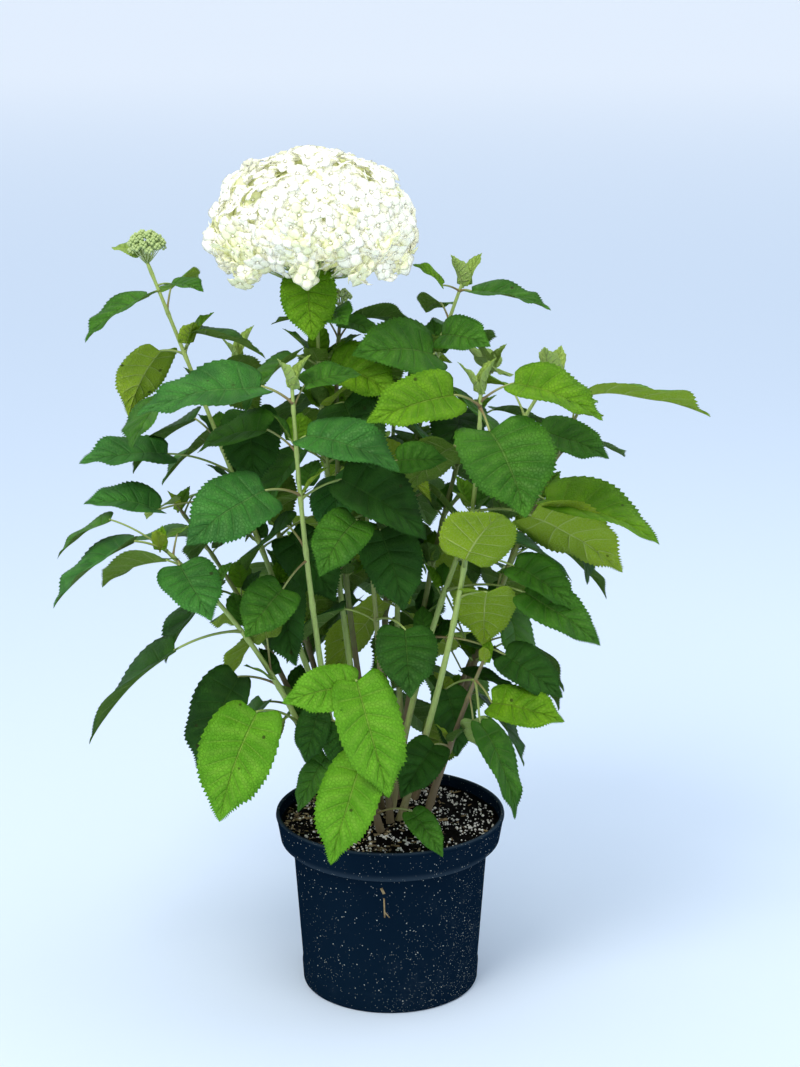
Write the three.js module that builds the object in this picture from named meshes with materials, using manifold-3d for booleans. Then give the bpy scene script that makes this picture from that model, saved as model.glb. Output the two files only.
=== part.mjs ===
// A potted hydrangea shrub: a round nursery pot full of compost, eighteen upright canes, the leafy top
// of each cane, one large white mophead bloom and two heads of green flower buds.
// Millimetres, +Z up. The origin is the middle of the pot's flat underside, and -Y is the sunny side.

import * as THREE from 'three';
import { mergeVertices } from 'three/addons/utils/BufferGeometryUtils.js';
import Module from 'manifold-3d';

const wasm = await Module();
wasm.setup();

// ---- Driving dimensions -------------------------------------------------------------------------

const CLEARANCE = 0.3;
const SLIVER = 0.08; // edges shorter than this, left where solids meet, are closed up

const POT = {
  height: 220,
  footRadius: 108,
  wallTopRadius: 119,
  bandFoot: 180,
  bandRadius: 134,
  rimRadius: 140,
  chamfer: 7,
  lip: 4,
  edge: 2, // the small bevel round the foot and under the band
  wall: 2.4,
  sides: 36,
};

const COMPOST = { top: 211, flatRadius: 100, edgeDrop: 5, inset: 0.7 };

const CANE = { footRadius: 4.4, tipRadius: 2.0, sides: 5, step: 62 };

const STALK = { radius: 1.8, arch: 0.07, rings: [0.06, 1] };

const BLADE = {
  widthShare: 0.66, // full width over length
  thickShare: 0.016, // thickness at the midrib over length
  fold: 0.2, // rise of the edges over the half width
  curl: 32, // degrees that the midrib bends from base to tip
  rootPower: 0.45, // a small power gives the round, heart-like base
  tipPower: 1.05,
  rings: [0.1, 0.36, 0.68], // sections across the blade, as shares of its length
  chosenRings: [0.08, 0.28, 0.54, 0.8],
};

const TIP_BUD = { length: 34, radius: 6 };

const BLOOM = {
  centre: [-87, 10, 930],
  radius: 119,
  rise: 92,
  droop: 46,
  florets: 76,
  floretRadius: 17,
  floretDepth: 15,
  squareness: 3.2, // of the lower half, where 2 is an ellipse and more falls straighter
  lobes: [[-0.72, -0.35, -0.6, 12], [0.42, -0.62, -0.66, 10], [-0.1, -0.8, -0.6, -10]],
  bunches: [ // middle and radius of each bunch of florets that hangs below the head
    [-162, -55, 884, 17], [-94, -90, 889, 12], [-34, -80, 888, 13], [12, -34, 895, 13],
    [-182, -36, 899, 12], [-7, -62, 891, 11], [-130, 85, 886, 15], [-40, 95, 884, 14],
    [10, 60, 892, 13], [-183, 50, 892, 13],
  ],
};

const BUD_HEADS = {
  bud_head_left: { cane: 'left_bud', radius: 19, height: 15, buds: 30 },
  bud_head_small: { cane: 'small_bud', radius: 11, height: 8, buds: 16 },
};

const HEAD_CORE = 0.8; // the core of a bud head over its outside

const SEED = 20241;
const NEAREST = 10; // least distance kept between the sampled points of two leafy tops
const SAMPLE = 9; // spacing of those points

// Canes: foot on the compost (x, y), a point halfway (x, y, z), the tip (x, y, z), the height of the
// lowest leaves, the heading of the first pair of leaves, and the length of the middle leaves. A cane
// with an open front has lost the leaves that hung before it.
const CANES = {
  front_left: {
    foot: [-50, -10], mid: [-88, -75, 490], tip: [-108, -115, 770],
    leafFrom: 505, turn: 35, leaf: 115, openFront: true,
  },
  left_bud: {
    foot: [-35, 0], mid: [-150, 10, 540], tip: [-279, 10, 889],
    leafFrom: 480, turn: 60, leaf: 110,
  },
  low_left: {
    foot: [-64, -34], mid: [-140, -60, 415], tip: [-262, -95, 580],
    leafFrom: 330, turn: 80, leaf: 115, openFront: true,
  },
  bloom: {
    foot: [-18, 10], mid: [-65, 10, 545], tip: [-86, 10, 876],
    leafFrom: 520, turn: 30, leaf: 105,
  },
  small_bud: {
    foot: [-12, 35], mid: [-58, 38, 560], tip: [-57, 42, 832],
    leafFrom: 500, turn: 75, leaf: 105,
  },
  right_top: {
    foot: [26, 85], mid: [14, 62, 545], tip: [86, 50, 862],
    leafFrom: 520, turn: 40, leaf: 105,
  },
  right_front: {
    foot: [12, -8], mid: [80, -70, 510], tip: [102, -100, 762],
    leafFrom: 480, turn: 10, leaf: 115, openFront: true,
  },
  right: {
    foot: [2, 24], mid: [72, -8, 520], tip: [186, -42, 768],
    leafFrom: 420, turn: 55, leaf: 115, openFront: true,
  },
  back_right: {
    foot: [8, 60], mid: [55, 92, 520], tip: [125, 132, 745],
    leafFrom: 430, turn: 15, leaf: 120,
  },
  low_right: {
    foot: [42, -15], mid: [78, -30, 330], tip: [112, -48, 430],
    leafFrom: 310, turn: 70, leaf: 85,
  },
  low_front: {
    foot: [-12, -45], mid: [-32, -78, 310], tip: [-45, -105, 385],
    leafFrom: 255, turn: 45, leaf: 100,
  },
  centre: {
    foot: [0, -14], mid: [-14, -25, 440], tip: [-30, -45, 640],
    leafFrom: 400, turn: 35, leaf: 100, openFront: true,
  },
  back_left: {
    foot: [-46, 45], mid: [-130, 120, 500], tip: [-190, 180, 750],
    leafFrom: 400, turn: 25, leaf: 120,
  },
  back: {
    foot: [-8, 72], mid: [-5, 155, 480], tip: [10, 225, 735],
    leafFrom: 420, turn: 65, leaf: 120,
  },
  back_far_right: {
    foot: [50, 45], mid: [140, 100, 480], tip: [235, 150, 690],
    leafFrom: 380, turn: 5, leaf: 120,
  },
  low_back_left: {
    foot: [-66, 25], mid: [-150, 75, 400], tip: [-262, 110, 575],
    leafFrom: 330, turn: 50, leaf: 120,
  },
  low_back_right: {
    foot: [30, 62], mid: [105, 150, 370], tip: [170, 225, 520],
    leafFrom: 310, turn: 85, leaf: 115,
  },
  low_back: {
    foot: [-28, 60], mid: [-60, 155, 350], tip: [-95, 245, 500],
    leafFrom: 300, turn: 30, leaf: 115,
  },
};

// The leaves that catch the eye, cane by cane. A line holds the height of the leaf's node, then the
// heading, rise and length of its stalk, the heading, fall and length of its blade, how far the blade's
// face leans to the sunny side, and the blade's width over its length. Angles are in degrees, and
// heading 0 is +X.
const CHOSEN_LEAVES = {
  bloom: [[862, -105, 30, 35, -80, 60, 82, 25, 0.77]],
  small_bud: [
    [800, -80, 40, 30, -25, 15, 50, 20, 0.7],
    [735, -98, 40, 62, -30, 20, 95, 40, 0.7],
  ],
  left_bud: [
    [856, -125, -10, 18, -150, 30, 95, 0, 0.55],
    [862, -30, 10, 20, -35, 5, 50, 10, 0.66],
    [782, 165, 5, 30, 140, 55, 105, -30, 0.56],
    [782, -10, 65, 28, 5, 20, 90, 0, 0.62],
    [640, -165, 20, 80, -155, 0, 110, 20, 0.62],
    [600, -150, 5, 110, -165, -8, 90, 20, 0.64],
    [690, -35, 30, 60, -80, 55, 95, 30, 0.7],
  ],
  low_left: [
    [560, 170, 30, 90, 180, 35, 80, 0, 0.56],
    [572, -170, 20, 40, -160, 35, 120, -5, 0.56],
    [540, -140, 35, 45, 150, 25, 105, -20, 0.56],
    [560, -80, 5, 28, -60, 28, 95, 30, 0.7],
    [470, -165, -12, 80, -165, 45, 150, -5, 0.52],
    [415, -100, 72, 50, 130, -60, 65, -60, 0.7],
    [400, 160, 5, 50, -160, 65, 125, 20, 0.58],
    [350, -120, 25, 95, -130, 60, 135, 35, 0.62],
  ],
  front_left: [
    [748, -175, 30, 40, -165, 10, 145, 22, 0.6],
    [700, -50, 35, 22, -20, 15, 118, 30, 0.55],
    [640, -140, 15, 50, -145, 25, 115, 50, 0.68],
    [560, -135, -35, 45, -135, 38, 75, 60, 0.76],
  ],
  right_top: [
    [850, -150, 20, 25, -165, -35, 45, 20, 0.56],
    [850, -40, 5, 18, -20, 10, 100, 10, 0.5],
    [800, -100, 5, 30, -35, 5, 70, 50, 0.76],
    [770, -95, 15, 55, -150, -5, 110, 45, 0.7],
  ],
  right_front: [
    [742, -145, 25, 40, -150, 10, 115, 50, 0.58],
    [740, -75, -28, 40, -65, 42, 120, 35, 0.84],
    [748, 5, 28, 42, -15, 20, 110, 25, 0.6],
    [548, -90, 30, 36, -52, -46, 95, -75, 0.84],
    [510, -25, 18, 37, 90, 57, 100, -50, 0.72],
  ],
  right: [
    [745, 20, -5, 60, 20, 13, 168, -15, 0.46],
    [700, -35, 5, 30, -25, 15, 90, 30, 0.68],
    [640, -5, -20, 67, -12, 18, 145, 12, 0.6],
    [600, -35, 5, 75, 20, 33, 145, -50, 0.6],
    [540, -40, 5, 84, -25, 30, 90, 25, 0.62],
    [500, -40, 10, 118, -20, 30, 110, 35, 0.54],
    [440, -25, -5, 96, -25, 30, 88, 35, 0.6],
  ],
  back_right: [
    [500, -50, -50, 100, -15, 35, 80, 0, 0.5],
    [450, -35, -50, 90, -15, 20, 80, 0, 0.5],
  ],
  low_right: [
    [400, -60, -25, 40, -15, 10, 90, 40, 0.6],
    [380, -80, -45, 32, 60, 60, 60, -40, 0.6],
    [400, -78, -62, 50, -34, 65, 125, 10, 0.36],
    [400, 125, -25, 65, -50, 75, 85, 15, 0.62],
  ],
  low_front: [
    [370, -80, 55, 70, -155, 5, 95, 60, 0.58],
    [365, -85, 55, 85, -50, 65, 140, 35, 0.54],
    [300, -90, 30, 85, -120, 55, 130, 30, 0.54],
    [235, -50, 20, 70, -50, 35, 70, 40, 0.46],
    [335, 163, 37, 62, -143, 72, 64, 35, 0.62],
    [325, 169, 53, 45, -56, 76, 61, 35, 0.66],
    [275, -173, 39, 64, -175, 63, 78, 30, 0.42],
  ],
  centre: [
    [470, -70, 10, 100, -85, 40, 92, 30, 0.74],
    [560, -100, 35, 95, -125, 35, 88, 45, 0.66],
    [545, -65, 60, 50, -55, 60, 100, 25, 0.7],
    [635, -35, 40, 60, -20, -5, 62, 50, 0.62],
  ],
};

// The rule for every other leaf.
const PAIRS = {
  spacing: 68, // between the nodes low on a cane
  spacingTop: 44, // and near its tip
  stalkShare: 0.42, // stalk over blade
  stalkRise: 32,
  fall: 24,
  fallLow: 24, // added to the fall of the lowest leaves
  leanOut: 0.6, // lean of the face away from the middle of the shrub,
  reachOut: 60, // seen from a point this far along the leaf's heading
  youngShare: 0.45, // blade of the topmost pair over the middle ones
  sameNode: 32, // a chosen leaf this near in height, and within sameSide, takes the node's place
  sameSide: 75,
  openSide: 72, // a cane with an open front has no leaves this near to the sunny heading
  swings: [0, 14, -14, 28, -28, 42, -42], // tries, in degrees of heading
  lifts: [0, 16, -16], // and in degrees of rise
};

// ---- Small helpers ------------------------------------------------------------------------------

const UP = new THREE.Vector3(0, 0, 1);
const SUNNY = new THREE.Vector3(0, -1, 0);
const SUNNY_HEADING = -90;
const radians = THREE.MathUtils.degToRad;
const vector = (values) => new THREE.Vector3(...values);
const blend = THREE.MathUtils.lerp;

// A repeatable number from 0 to 1 for a set of whole numbers.
function dice(...keys) {
  let hash = SEED;
  for (const key of keys) {
    hash = Math.imul(hash ^ (key + 0x9e3779b9), 0x85ebca6b);
    hash ^= hash >>> 13;
  }
  hash = Math.imul(hash, 0xc2b2ae35);
  hash ^= hash >>> 16;
  return (hash >>> 0) / 4294967296;
}

function heading(angle, rise) {
  const level = Math.cos(radians(rise));
  return new THREE.Vector3(
    level * Math.cos(radians(angle)), level * Math.sin(radians(angle)), Math.sin(radians(rise)));
}

// Merges the seams of a closed geometry, moves its points, and turns its faces outwards.
function shaped(geometry, move) {
  geometry.deleteAttribute('normal');
  geometry.deleteAttribute('uv');
  const merged = mergeVertices(geometry);
  const place = merged.attributes.position;
  const point = new THREE.Vector3();
  for (let i = 0; i < place.count; i += 1) {
    point.fromBufferAttribute(place, i);
    place.setXYZ(i, ...move(point).toArray());
  }
  const faces = merged.index.array;
  if (signedVolume(place, faces) < 0) {
    for (let i = 0; i < faces.length; i += 3) {
      [faces[i + 1], faces[i + 2]] = [faces[i + 2], faces[i + 1]];
    }
  }
  return merged;
}

function signedVolume(place, faces) {
  const [a, b, c] = [new THREE.Vector3(), new THREE.Vector3(), new THREE.Vector3()];
  let sum = 0;
  for (let i = 0; i < faces.length; i += 3) {
    a.fromBufferAttribute(place, faces[i]);
    b.fromBufferAttribute(place, faces[i + 1]);
    c.fromBufferAttribute(place, faces[i + 2]);
    sum += a.dot(b.cross(c));
  }
  return sum / 6;
}

function toSolid(geometry) {
  return new wasm.Manifold(new wasm.Mesh({
    numProp: 3,
    vertProperties: new Float32Array(geometry.attributes.position.array),
    triVerts: new Uint32Array(geometry.index.array),
  }));
}

// Joins closed geometries, and keeps the one body that holds the stem.
function fused(geometries) {
  const joined = wasm.Manifold.union(geometries.map(toSolid));
  const bodies = joined.simplify(SLIVER).decompose().sort((a, b) => b.volume() - a.volume());
  const mesh = bodies[0].getMesh();
  const geometry = new THREE.BufferGeometry();
  geometry.setAttribute('position', new THREE.BufferAttribute(new Float32Array(mesh.vertProperties), 3));
  geometry.setIndex(new THREE.BufferAttribute(new Uint32Array(mesh.triVerts), 1));
  return geometry;
}

// ---- Finishes -----------------------------------------------------------------------------------

const finish = (color, roughness) => new THREE.MeshStandardMaterial({ color, roughness, metalness: 0 });
const FINISHES = {
  pot: () => finish(0x10141c, 0.45),
  compost: () => finish(0x1d1813, 0.95),
  cane: () => finish(0x9aa45c, 0.7),
  leaves: (tint) => finish(new THREE.Color(0x3f7a26).offsetHSL(tint * 0.05, 0, tint * 0.1), 0.6),
  bloom: () => finish(0xf3f4e6, 0.8),
  buds: () => finish(0x93b35a, 0.8),
};

const shrub = new THREE.Group();

function addNode(name, geometry, material) {
  const mesh = new THREE.Mesh(geometry, material);
  mesh.name = name;
  shrub.add(mesh);
}

// ---- Pot and compost ----------------------------------------------------------------------------

const bandLow = POT.bandFoot + POT.chamfer;

// A lathe turns about Y, so its height is swung up to Z.
function turned(profile) {
  const outline = profile.map(([radius, height]) => new THREE.Vector2(radius, height));
  return shaped(new THREE.LatheGeometry(outline, POT.sides), (point) => (
    new THREE.Vector3(point.x, -point.z, point.y)));
}

// The inside of the pot, from the rim down to the edge of the floor.
function potInside() {
  const { height, footRadius, wallTopRadius, bandFoot, bandRadius, rimRadius, lip, wall } = POT;
  return [
    [rimRadius - lip, height],
    [bandRadius - wall, bandLow + 1],
    [wallTopRadius - wall, bandFoot - 1],
    [footRadius - wall, wall],
  ];
}

// The wall leans out to a wide band below a rolled lip.
function potGeometry() {
  const { height, footRadius, wallTopRadius, bandFoot, bandRadius, rimRadius, lip, edge, wall } = POT;
  const outside = [
    [0, 0],
    [footRadius - edge, 0],
    [footRadius, edge],
    [wallTopRadius, bandFoot - edge],
    [bandRadius - POT.chamfer, bandFoot],
    [bandRadius, bandLow],
    [rimRadius - 1, height - lip - 1],
    [rimRadius, height - lip],
    [rimRadius - 1, height],
  ];
  return turned([...outside, ...potInside(), [0, wall]]);
}

// The compost fills the pot's inside up to a flat top that falls a little towards the wall.
function compostGeometry() {
  const [rim, band, waist, floor] = potInside();
  const edgeHeight = COMPOST.top - COMPOST.edgeDrop;
  const edgeRadius = blend(band[0], rim[0], (edgeHeight - band[1]) / (rim[1] - band[1]));
  const low = floor[1] + CLEARANCE;
  return turned([
    [0, low],
    [floor[0] - COMPOST.inset, low],
    [waist[0] - COMPOST.inset, waist[1]],
    [band[0] - COMPOST.inset, band[1]],
    [edgeRadius - COMPOST.inset, edgeHeight],
    [COMPOST.flatRadius, COMPOST.top],
    [0, COMPOST.top],
  ]);
}

addNode('pot', potGeometry(), FINISHES.pot());
addNode('compost', compostGeometry(), FINISHES.compost());

// ---- Canes --------------------------------------------------------------------------------------

// A bezier curve that passes through the point halfway.
function canePath({ foot, mid, tip }) {
  const start = new THREE.Vector3(foot[0], foot[1], COMPOST.top + CLEARANCE);
  const end = vector(tip);
  const control = vector(mid).multiplyScalar(2).addScaledVector(start, -0.5).addScaledVector(end, -0.5);
  return new THREE.QuadraticBezierCurve3(start, control, end);
}

// Canes only rise, so a height is found by halving.
function shareAtHeight(path, height) {
  let [low, high] = [0, 1];
  for (let i = 0; i < 30; i += 1) {
    const middle = (low + high) / 2;
    if (path.getPoint(middle).z < height) low = middle;
    else high = middle;
  }
  return low;
}

const caneRadius = (share) => blend(CANE.footRadius, CANE.tipRadius, share);

// A tapering limb along part of a curve, from a cylinder of unit size. A level foot is cut flat.
function limb(curve, from, to, radiusAt, sides, steps, levelFoot = false) {
  const move = (point) => {
    const share = blend(from, to, point.y + 0.5);
    const centre = curve.getPoint(share);
    const along = curve.getTangent(share);
    const side = new THREE.Vector3(0, 1, 0).addScaledVector(along, -along.y).normalize();
    const other = side.clone().cross(along);
    const radius = radiusAt(share);
    const offset = side.multiplyScalar(point.x * radius).addScaledVector(other, point.z * radius);
    if (levelFoot && point.y < -0.49) offset.addScaledVector(along, -offset.z / along.z);
    return centre.add(offset);
  };
  return shaped(new THREE.CylinderGeometry(1, 1, 1, sides, steps), move);
}

// ---- Leaves -------------------------------------------------------------------------------------

// A leaf is a stalk from its node to the blade's base, and a blade whose midrib is an arc.
function makeLeaf({ node, stalkHeading, stalkRise, stalk, bladeHeading, fall, length, width, facing }) {
  const base = node.clone().addScaledVector(heading(stalkHeading, stalkRise), stalk);
  const chord = heading(bladeHeading, -fall);
  const face = facing.clone().addScaledVector(chord, -facing.dot(chord)).normalize();
  const half = radians(BLADE.curl) / 2;
  return {
    node,
    base,
    length,
    width,
    along: chord.clone().multiplyScalar(Math.cos(half)).addScaledVector(face, Math.sin(half)),
    face: face.clone().multiplyScalar(Math.cos(half)).addScaledVector(chord, -Math.sin(half)),
    arch: node.clone().lerp(base, 0.5).addScaledVector(UP, STALK.arch * stalk),
  };
}

const leanToSun = (lean) => UP.clone().multiplyScalar(Math.cos(radians(lean)))
  .addScaledVector(SUNNY, Math.sin(radians(lean)));

// Half of the blade's width at a share of its length: widest at rootPower / (rootPower + tipPower).
function halfWidth(leaf, share) {
  const { rootPower, tipPower } = BLADE;
  const widest = rootPower / (rootPower + tipPower);
  const shape = (s) => s ** rootPower * (1 - s) ** tipPower;
  return 0.5 * leaf.width * shape(share) / shape(widest);
}

// A point of the blade: share along it, across it from -1 to 1, and the offset along its normal.
function bladePoint(leaf, share, across, offset = 0) {
  const turn = radians(BLADE.curl) * share;
  const radius = leaf.length / radians(BLADE.curl);
  const width = halfWidth(leaf, share);
  const rise = Math.abs(across) * width * BLADE.fold + offset;
  return leaf.base.clone()
    .addScaledVector(leaf.along, radius * Math.sin(turn) + rise * Math.sin(turn))
    .addScaledVector(leaf.face, radius * (Math.cos(turn) - 1) + rise * Math.cos(turn))
    .addScaledVector(leaf.face.clone().cross(leaf.along), across * width);
}

// The stalk's middle line, from the stem's axis to the blade's base.
function stalkCurve(leaf) {
  const control = leaf.arch.clone().multiplyScalar(2)
    .addScaledVector(leaf.node, -0.5).addScaledVector(leaf.base, -0.5);
  return new THREE.QuadraticBezierCurve3(leaf.node, control, leaf.base);
}

// A point of the stalk's four-cornered skin, turned the least way from the blade's own directions.
function stalkPoint(leaf, curve, share, across, offset) {
  const turn = new THREE.Quaternion().setFromUnitVectors(leaf.along, curve.getTangent(share));
  const side = leaf.face.clone().cross(leaf.along).applyQuaternion(turn);
  const face = leaf.face.clone().applyQuaternion(turn);
  return curve.getPoint(share)
    .addScaledVector(side, across * STALK.radius).addScaledVector(face, offset * STALK.radius);
}

// Stalk and blade are one body: a sphere of four sides whose poles are the node and the blade's tip,
// and whose rings are sections across the stalk and then across the blade.
function leafGeometry(leaf) {
  const bladeRings = leaf.chosen ? BLADE.chosenRings : BLADE.rings;
  const rings = STALK.rings.length + bladeRings.length;
  const halfThick = BLADE.thickShare * leaf.length / 2;
  const curve = stalkCurve(leaf);
  const move = (point) => {
    const polar = Math.acos(THREE.MathUtils.clamp(point.y, -1, 1));
    const ring = Math.round(polar / Math.PI * (rings + 1));
    if (ring === 0) return leaf.node.clone();
    if (ring > rings) return bladePoint(leaf, 1, 0);
    const across = Math.round(point.x / Math.sin(polar));
    const offset = Math.round(point.z / Math.sin(polar));
    if (ring <= STALK.rings.length) return stalkPoint(leaf, curve, STALK.rings[ring - 1], across, offset);
    return bladePoint(leaf, bladeRings[ring - 1 - STALK.rings.length], across, offset * halfThick);
  };
  return shaped(new THREE.SphereGeometry(1, 4, rings + 1), move);
}

// A slim closed bud at the end of a stem, sunk by a fifth of its length.
function tipBud(path) {
  const [end, along] = [path.getPoint(1), path.getTangent(1)];
  const side = new THREE.Vector3(0, 1, 0).addScaledVector(along, -along.y).normalize();
  const other = side.clone().cross(along);
  return shaped(new THREE.SphereGeometry(1, 4, 4), (point) => end.clone()
    .addScaledVector(along, TIP_BUD.length * (0.3 + point.y / 2))
    .addScaledVector(side, TIP_BUD.radius * point.x)
    .addScaledVector(other, TIP_BUD.radius * point.z));
}

// ---- Keeping the leafy tops apart ---------------------------------------------------------------

const taken = []; // { owner, point } of everything placed so far

function takeCurve(owner, curve, from, to) {
  const steps = Math.max(2, Math.ceil(curve.getLength() * (to - from) / SAMPLE));
  for (let i = 0; i <= steps; i += 1) {
    taken.push({ owner, point: curve.getPoint(blend(from, to, i / steps)) });
  }
}

function leafPoints(leaf) {
  const points = [];
  const rows = Math.ceil(leaf.length / SAMPLE);
  const columns = Math.ceil(leaf.width / SAMPLE);
  for (let row = 0; row <= rows; row += 1) {
    for (let column = 0; column <= columns; column += 1) {
      points.push(bladePoint(leaf, row / rows, 2 * column / columns - 1));
    }
  }
  const stalk = stalkCurve(leaf);
  const steps = Math.ceil(leaf.node.distanceTo(leaf.base) / SAMPLE);
  for (let i = 1; i <= steps; i += 1) points.push(stalk.getPoint(i / steps));
  return points;
}

function takeLeaf(owner, leaf) {
  leafPoints(leaf).forEach((point) => taken.push({ owner, point }));
}

// True where a point lies in the pot, in the compost, or in the bloom.
function insideSolidParts(point) {
  const fromAxis = Math.hypot(point.x, point.y);
  const nearPot = point.z < POT.height + NEAREST && fromAxis < POT.rimRadius + NEAREST;
  const potFree = point.z > COMPOST.top + NEAREST && fromAxis < POT.bandRadius - NEAREST;
  const [x, y, z] = BLOOM.centre;
  const level = Math.hypot(point.x - x, point.y - y) / (BLOOM.radius + NEAREST);
  const tall = (point.z - z) / (point.z > z ? BLOOM.rise + NEAREST : BLOOM.droop + 24);
  return (nearPot && !potFree) || Math.hypot(level, tall) < 1;
}

function isFree(owner, leaf) {
  const points = leafPoints(leaf);
  if (points.some(insideSolidParts)) return false;
  return taken.every((other) => other.owner === owner
    || points.every((point) => point.distanceToSquared(other.point) > NEAREST * NEAREST));
}

// ---- Growing the shrub --------------------------------------------------------------------------

const names = Object.keys(CANES);
const tops = Object.fromEntries(names.map((name) => {
  const path = canePath(CANES[name]);
  return [name, { path, from: shareAtHeight(path, CANES[name].leafFrom - 25), leaves: [] }];
}));

names.forEach((name) => {
  const { path } = tops[name];
  takeCurve(name, path, 0, 1);
  [0.3, 0.8].forEach((share) => taken.push({
    owner: name, point: path.getPoint(1).addScaledVector(path.getTangent(1), share * TIP_BUD.length) }));
});

function growChosen(name) {
  const { path, leaves } = tops[name];
  (CHOSEN_LEAVES[name] ?? []).forEach((row) => {
    const [height, stalkHeading, stalkRise, stalk, bladeHeading, fall, length, lean, widthShare] = row;
    const node = path.getPoint(shareAtHeight(path, height));
    const [facing, width] = [leanToSun(lean), widthShare * length];
    const leaf = makeLeaf({
      node, stalkHeading, stalkRise, stalk, bladeHeading, fall, length, width, facing,
    });
    leaf.chosen = true;
    leaves.push(leaf);
    takeLeaf(name, leaf);
  });
}

const apart = (a, b) => Math.abs(((a - b) % 360 + 540) % 360 - 180);

const hasChosen = (name, height, angle) => (CHOSEN_LEAVES[name] ?? []).some((row) => (
  Math.abs(row[0] - height) < PAIRS.sameNode && apart(row[1], angle) < PAIRS.sameSide));

// One leaf by the rule: the first of the tries that is clear of everything else, or none.
function growByRule(name, caneIndex, nodeIndex, height, side) {
  const { path, leaves } = tops[name];
  const cane = CANES[name];
  const chance = (key) => dice(caneIndex, nodeIndex, side, key);
  const grown = (height - cane.leafFrom) / (cane.tip[2] - cane.leafFrom);
  const angle = cane.turn + 90 * nodeIndex + 180 * side + 40 * (chance(1) - 0.5);
  const inOpenFront = cane.openFront && apart(angle, SUNNY_HEADING) < PAIRS.openSide;
  if (inOpenFront || hasChosen(name, height, angle)) return;
  const node = path.getPoint(shareAtHeight(path, height));
  const young = THREE.MathUtils.smoothstep(grown, 0.6, 1.05);
  const length = cane.leaf * blend(1, PAIRS.youngShare, young) * (0.88 + 0.24 * chance(2));
  const rise = PAIRS.stalkRise + 24 * (chance(3) - 0.5) + 25 * young;
  const fall = PAIRS.fall + PAIRS.fallLow * (1 - grown) + 24 * (chance(4) - 0.5) - 30 * young;
  const outward = new THREE.Vector3(node.x, node.y, 0).addScaledVector(heading(angle, 0), PAIRS.reachOut);
  const facing = UP.clone().addScaledVector(outward.normalize(), PAIRS.leanOut);
  for (const lift of PAIRS.lifts) {
    for (const swing of PAIRS.swings) {
      const leaf = makeLeaf({
        node,
        stalkHeading: angle + swing,
        stalkRise: rise + lift,
        stalk: PAIRS.stalkShare * length,
        bladeHeading: angle + swing + 30 * (chance(5) - 0.5),
        fall,
        length,
        width: BLADE.widthShare * length,
        facing,
      });
      if (isFree(name, leaf)) {
        leaves.push(leaf);
        takeLeaf(name, leaf);
        return;
      }
    }
  }
}

names.forEach(growChosen);
names.forEach((name, caneIndex) => {
  const { leafFrom, tip } = CANES[name];
  let height = leafFrom;
  for (let nodeIndex = 0; height < tip[2] - 8; nodeIndex += 1) {
    growByRule(name, caneIndex, nodeIndex, height, 0);
    growByRule(name, caneIndex, nodeIndex, height, 1);
    height += blend(PAIRS.spacing, PAIRS.spacingTop, (height - leafFrom) / (tip[2] - leafFrom));
  }
});

// The canes that end in a head have no bud at the tip.
const headed = new Set(['bloom', ...Object.values(BUD_HEADS).map((head) => head.cane)]);

names.forEach((name, index) => {
  const { path, from, leaves } = tops[name];
  const length = path.getLength();
  const gap = CLEARANCE / 2 / length;
  const steps = (share) => Math.max(3, Math.round(length * share / CANE.step));
  const cane = limb(path, 0, from - gap, caneRadius, CANE.sides, steps(from), true);
  addNode(`cane_${name}`, cane, FINISHES.cane());
  const stem = limb(path, from + gap, 1, caneRadius, CANE.sides, steps(1 - from));
  const buds = headed.has(name) ? [] : [tipBud(path)];
  const tint = dice(index, 9) - 0.5;
  addNode(`leaves_${name}`, fused([stem, ...buds, ...leaves.map(leafGeometry)]), FINISHES.leaves(tint));
});

// ---- Bloom and bud heads ------------------------------------------------------------------------

// Directions spread evenly over a ball, from its top down to a lowest height.
function spread(count, lowest) {
  const golden = Math.PI * (3 - Math.sqrt(5));
  return Array.from({ length: count }, (_, i) => {
    const z = blend(1, lowest, (i + 0.5) / count);
    const level = Math.sqrt(1 - z * z);
    return new THREE.Vector3(level * Math.cos(golden * i), level * Math.sin(golden * i), z);
  });
}

// The head's surface in a direction: a dome that falls nearly straight below its widest level, with
// a few lobes that hang lower.
function bloomSurface(direction, inset) {
  const { centre, radius, rise, droop, squareness, lobes } = BLOOM;
  const swell = lobes.reduce((sum, [x, y, z, size]) => (
    sum + size * Math.exp(-6 * (1 - direction.dot(vector([x, y, z]).normalize())))), 0);
  const drop = Math.max(0, -direction.z);
  const flat = Math.hypot(direction.x, direction.y);
  const square = drop > 0 ? (flat ** squareness + drop ** squareness) ** (-1 / squareness) : 1;
  const tall = drop > 0 ? droop : rise;
  const level = radius - inset;
  return new THREE.Vector3(direction.x * level, direction.y * level, direction.z * (tall - inset))
    .multiplyScalar(square).addScaledVector(direction, swell).add(vector(centre));
}

// A floret is a shallow cup of four sepals that opens outwards from a point in the core.
function floretGeometry(direction, index) {
  const rim = bloomSurface(direction, 0);
  const sideways = direction.clone().cross(new THREE.Vector3(0.3, 0.2, 1)).normalize();
  const other = direction.clone().cross(sideways);
  const turn = dice(index, 77) * Math.PI;
  const move = (point) => {
    const angle = Math.atan2(point.z, point.x) + turn;
    const onRim = Math.hypot(point.x, point.z) > 0.5;
    const lobe = Math.round(Math.atan2(point.z, point.x) / (Math.PI / 4)) % 2 === 0 ? 1 : 0.58;
    const radius = onRim ? BLOOM.floretRadius * lobe : 0;
    const isApex = point.y > 0;
    const depth = isApex ? BLOOM.floretDepth : (onRim ? 0 : BLOOM.floretDepth * 0.25);
    return rim.clone().addScaledVector(direction, -depth - 1)
      .addScaledVector(sideways, radius * Math.cos(angle)).addScaledVector(other, radius * Math.sin(angle));
  };
  return shaped(new THREE.ConeGeometry(1, 1, 8, 1), move);
}

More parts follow.
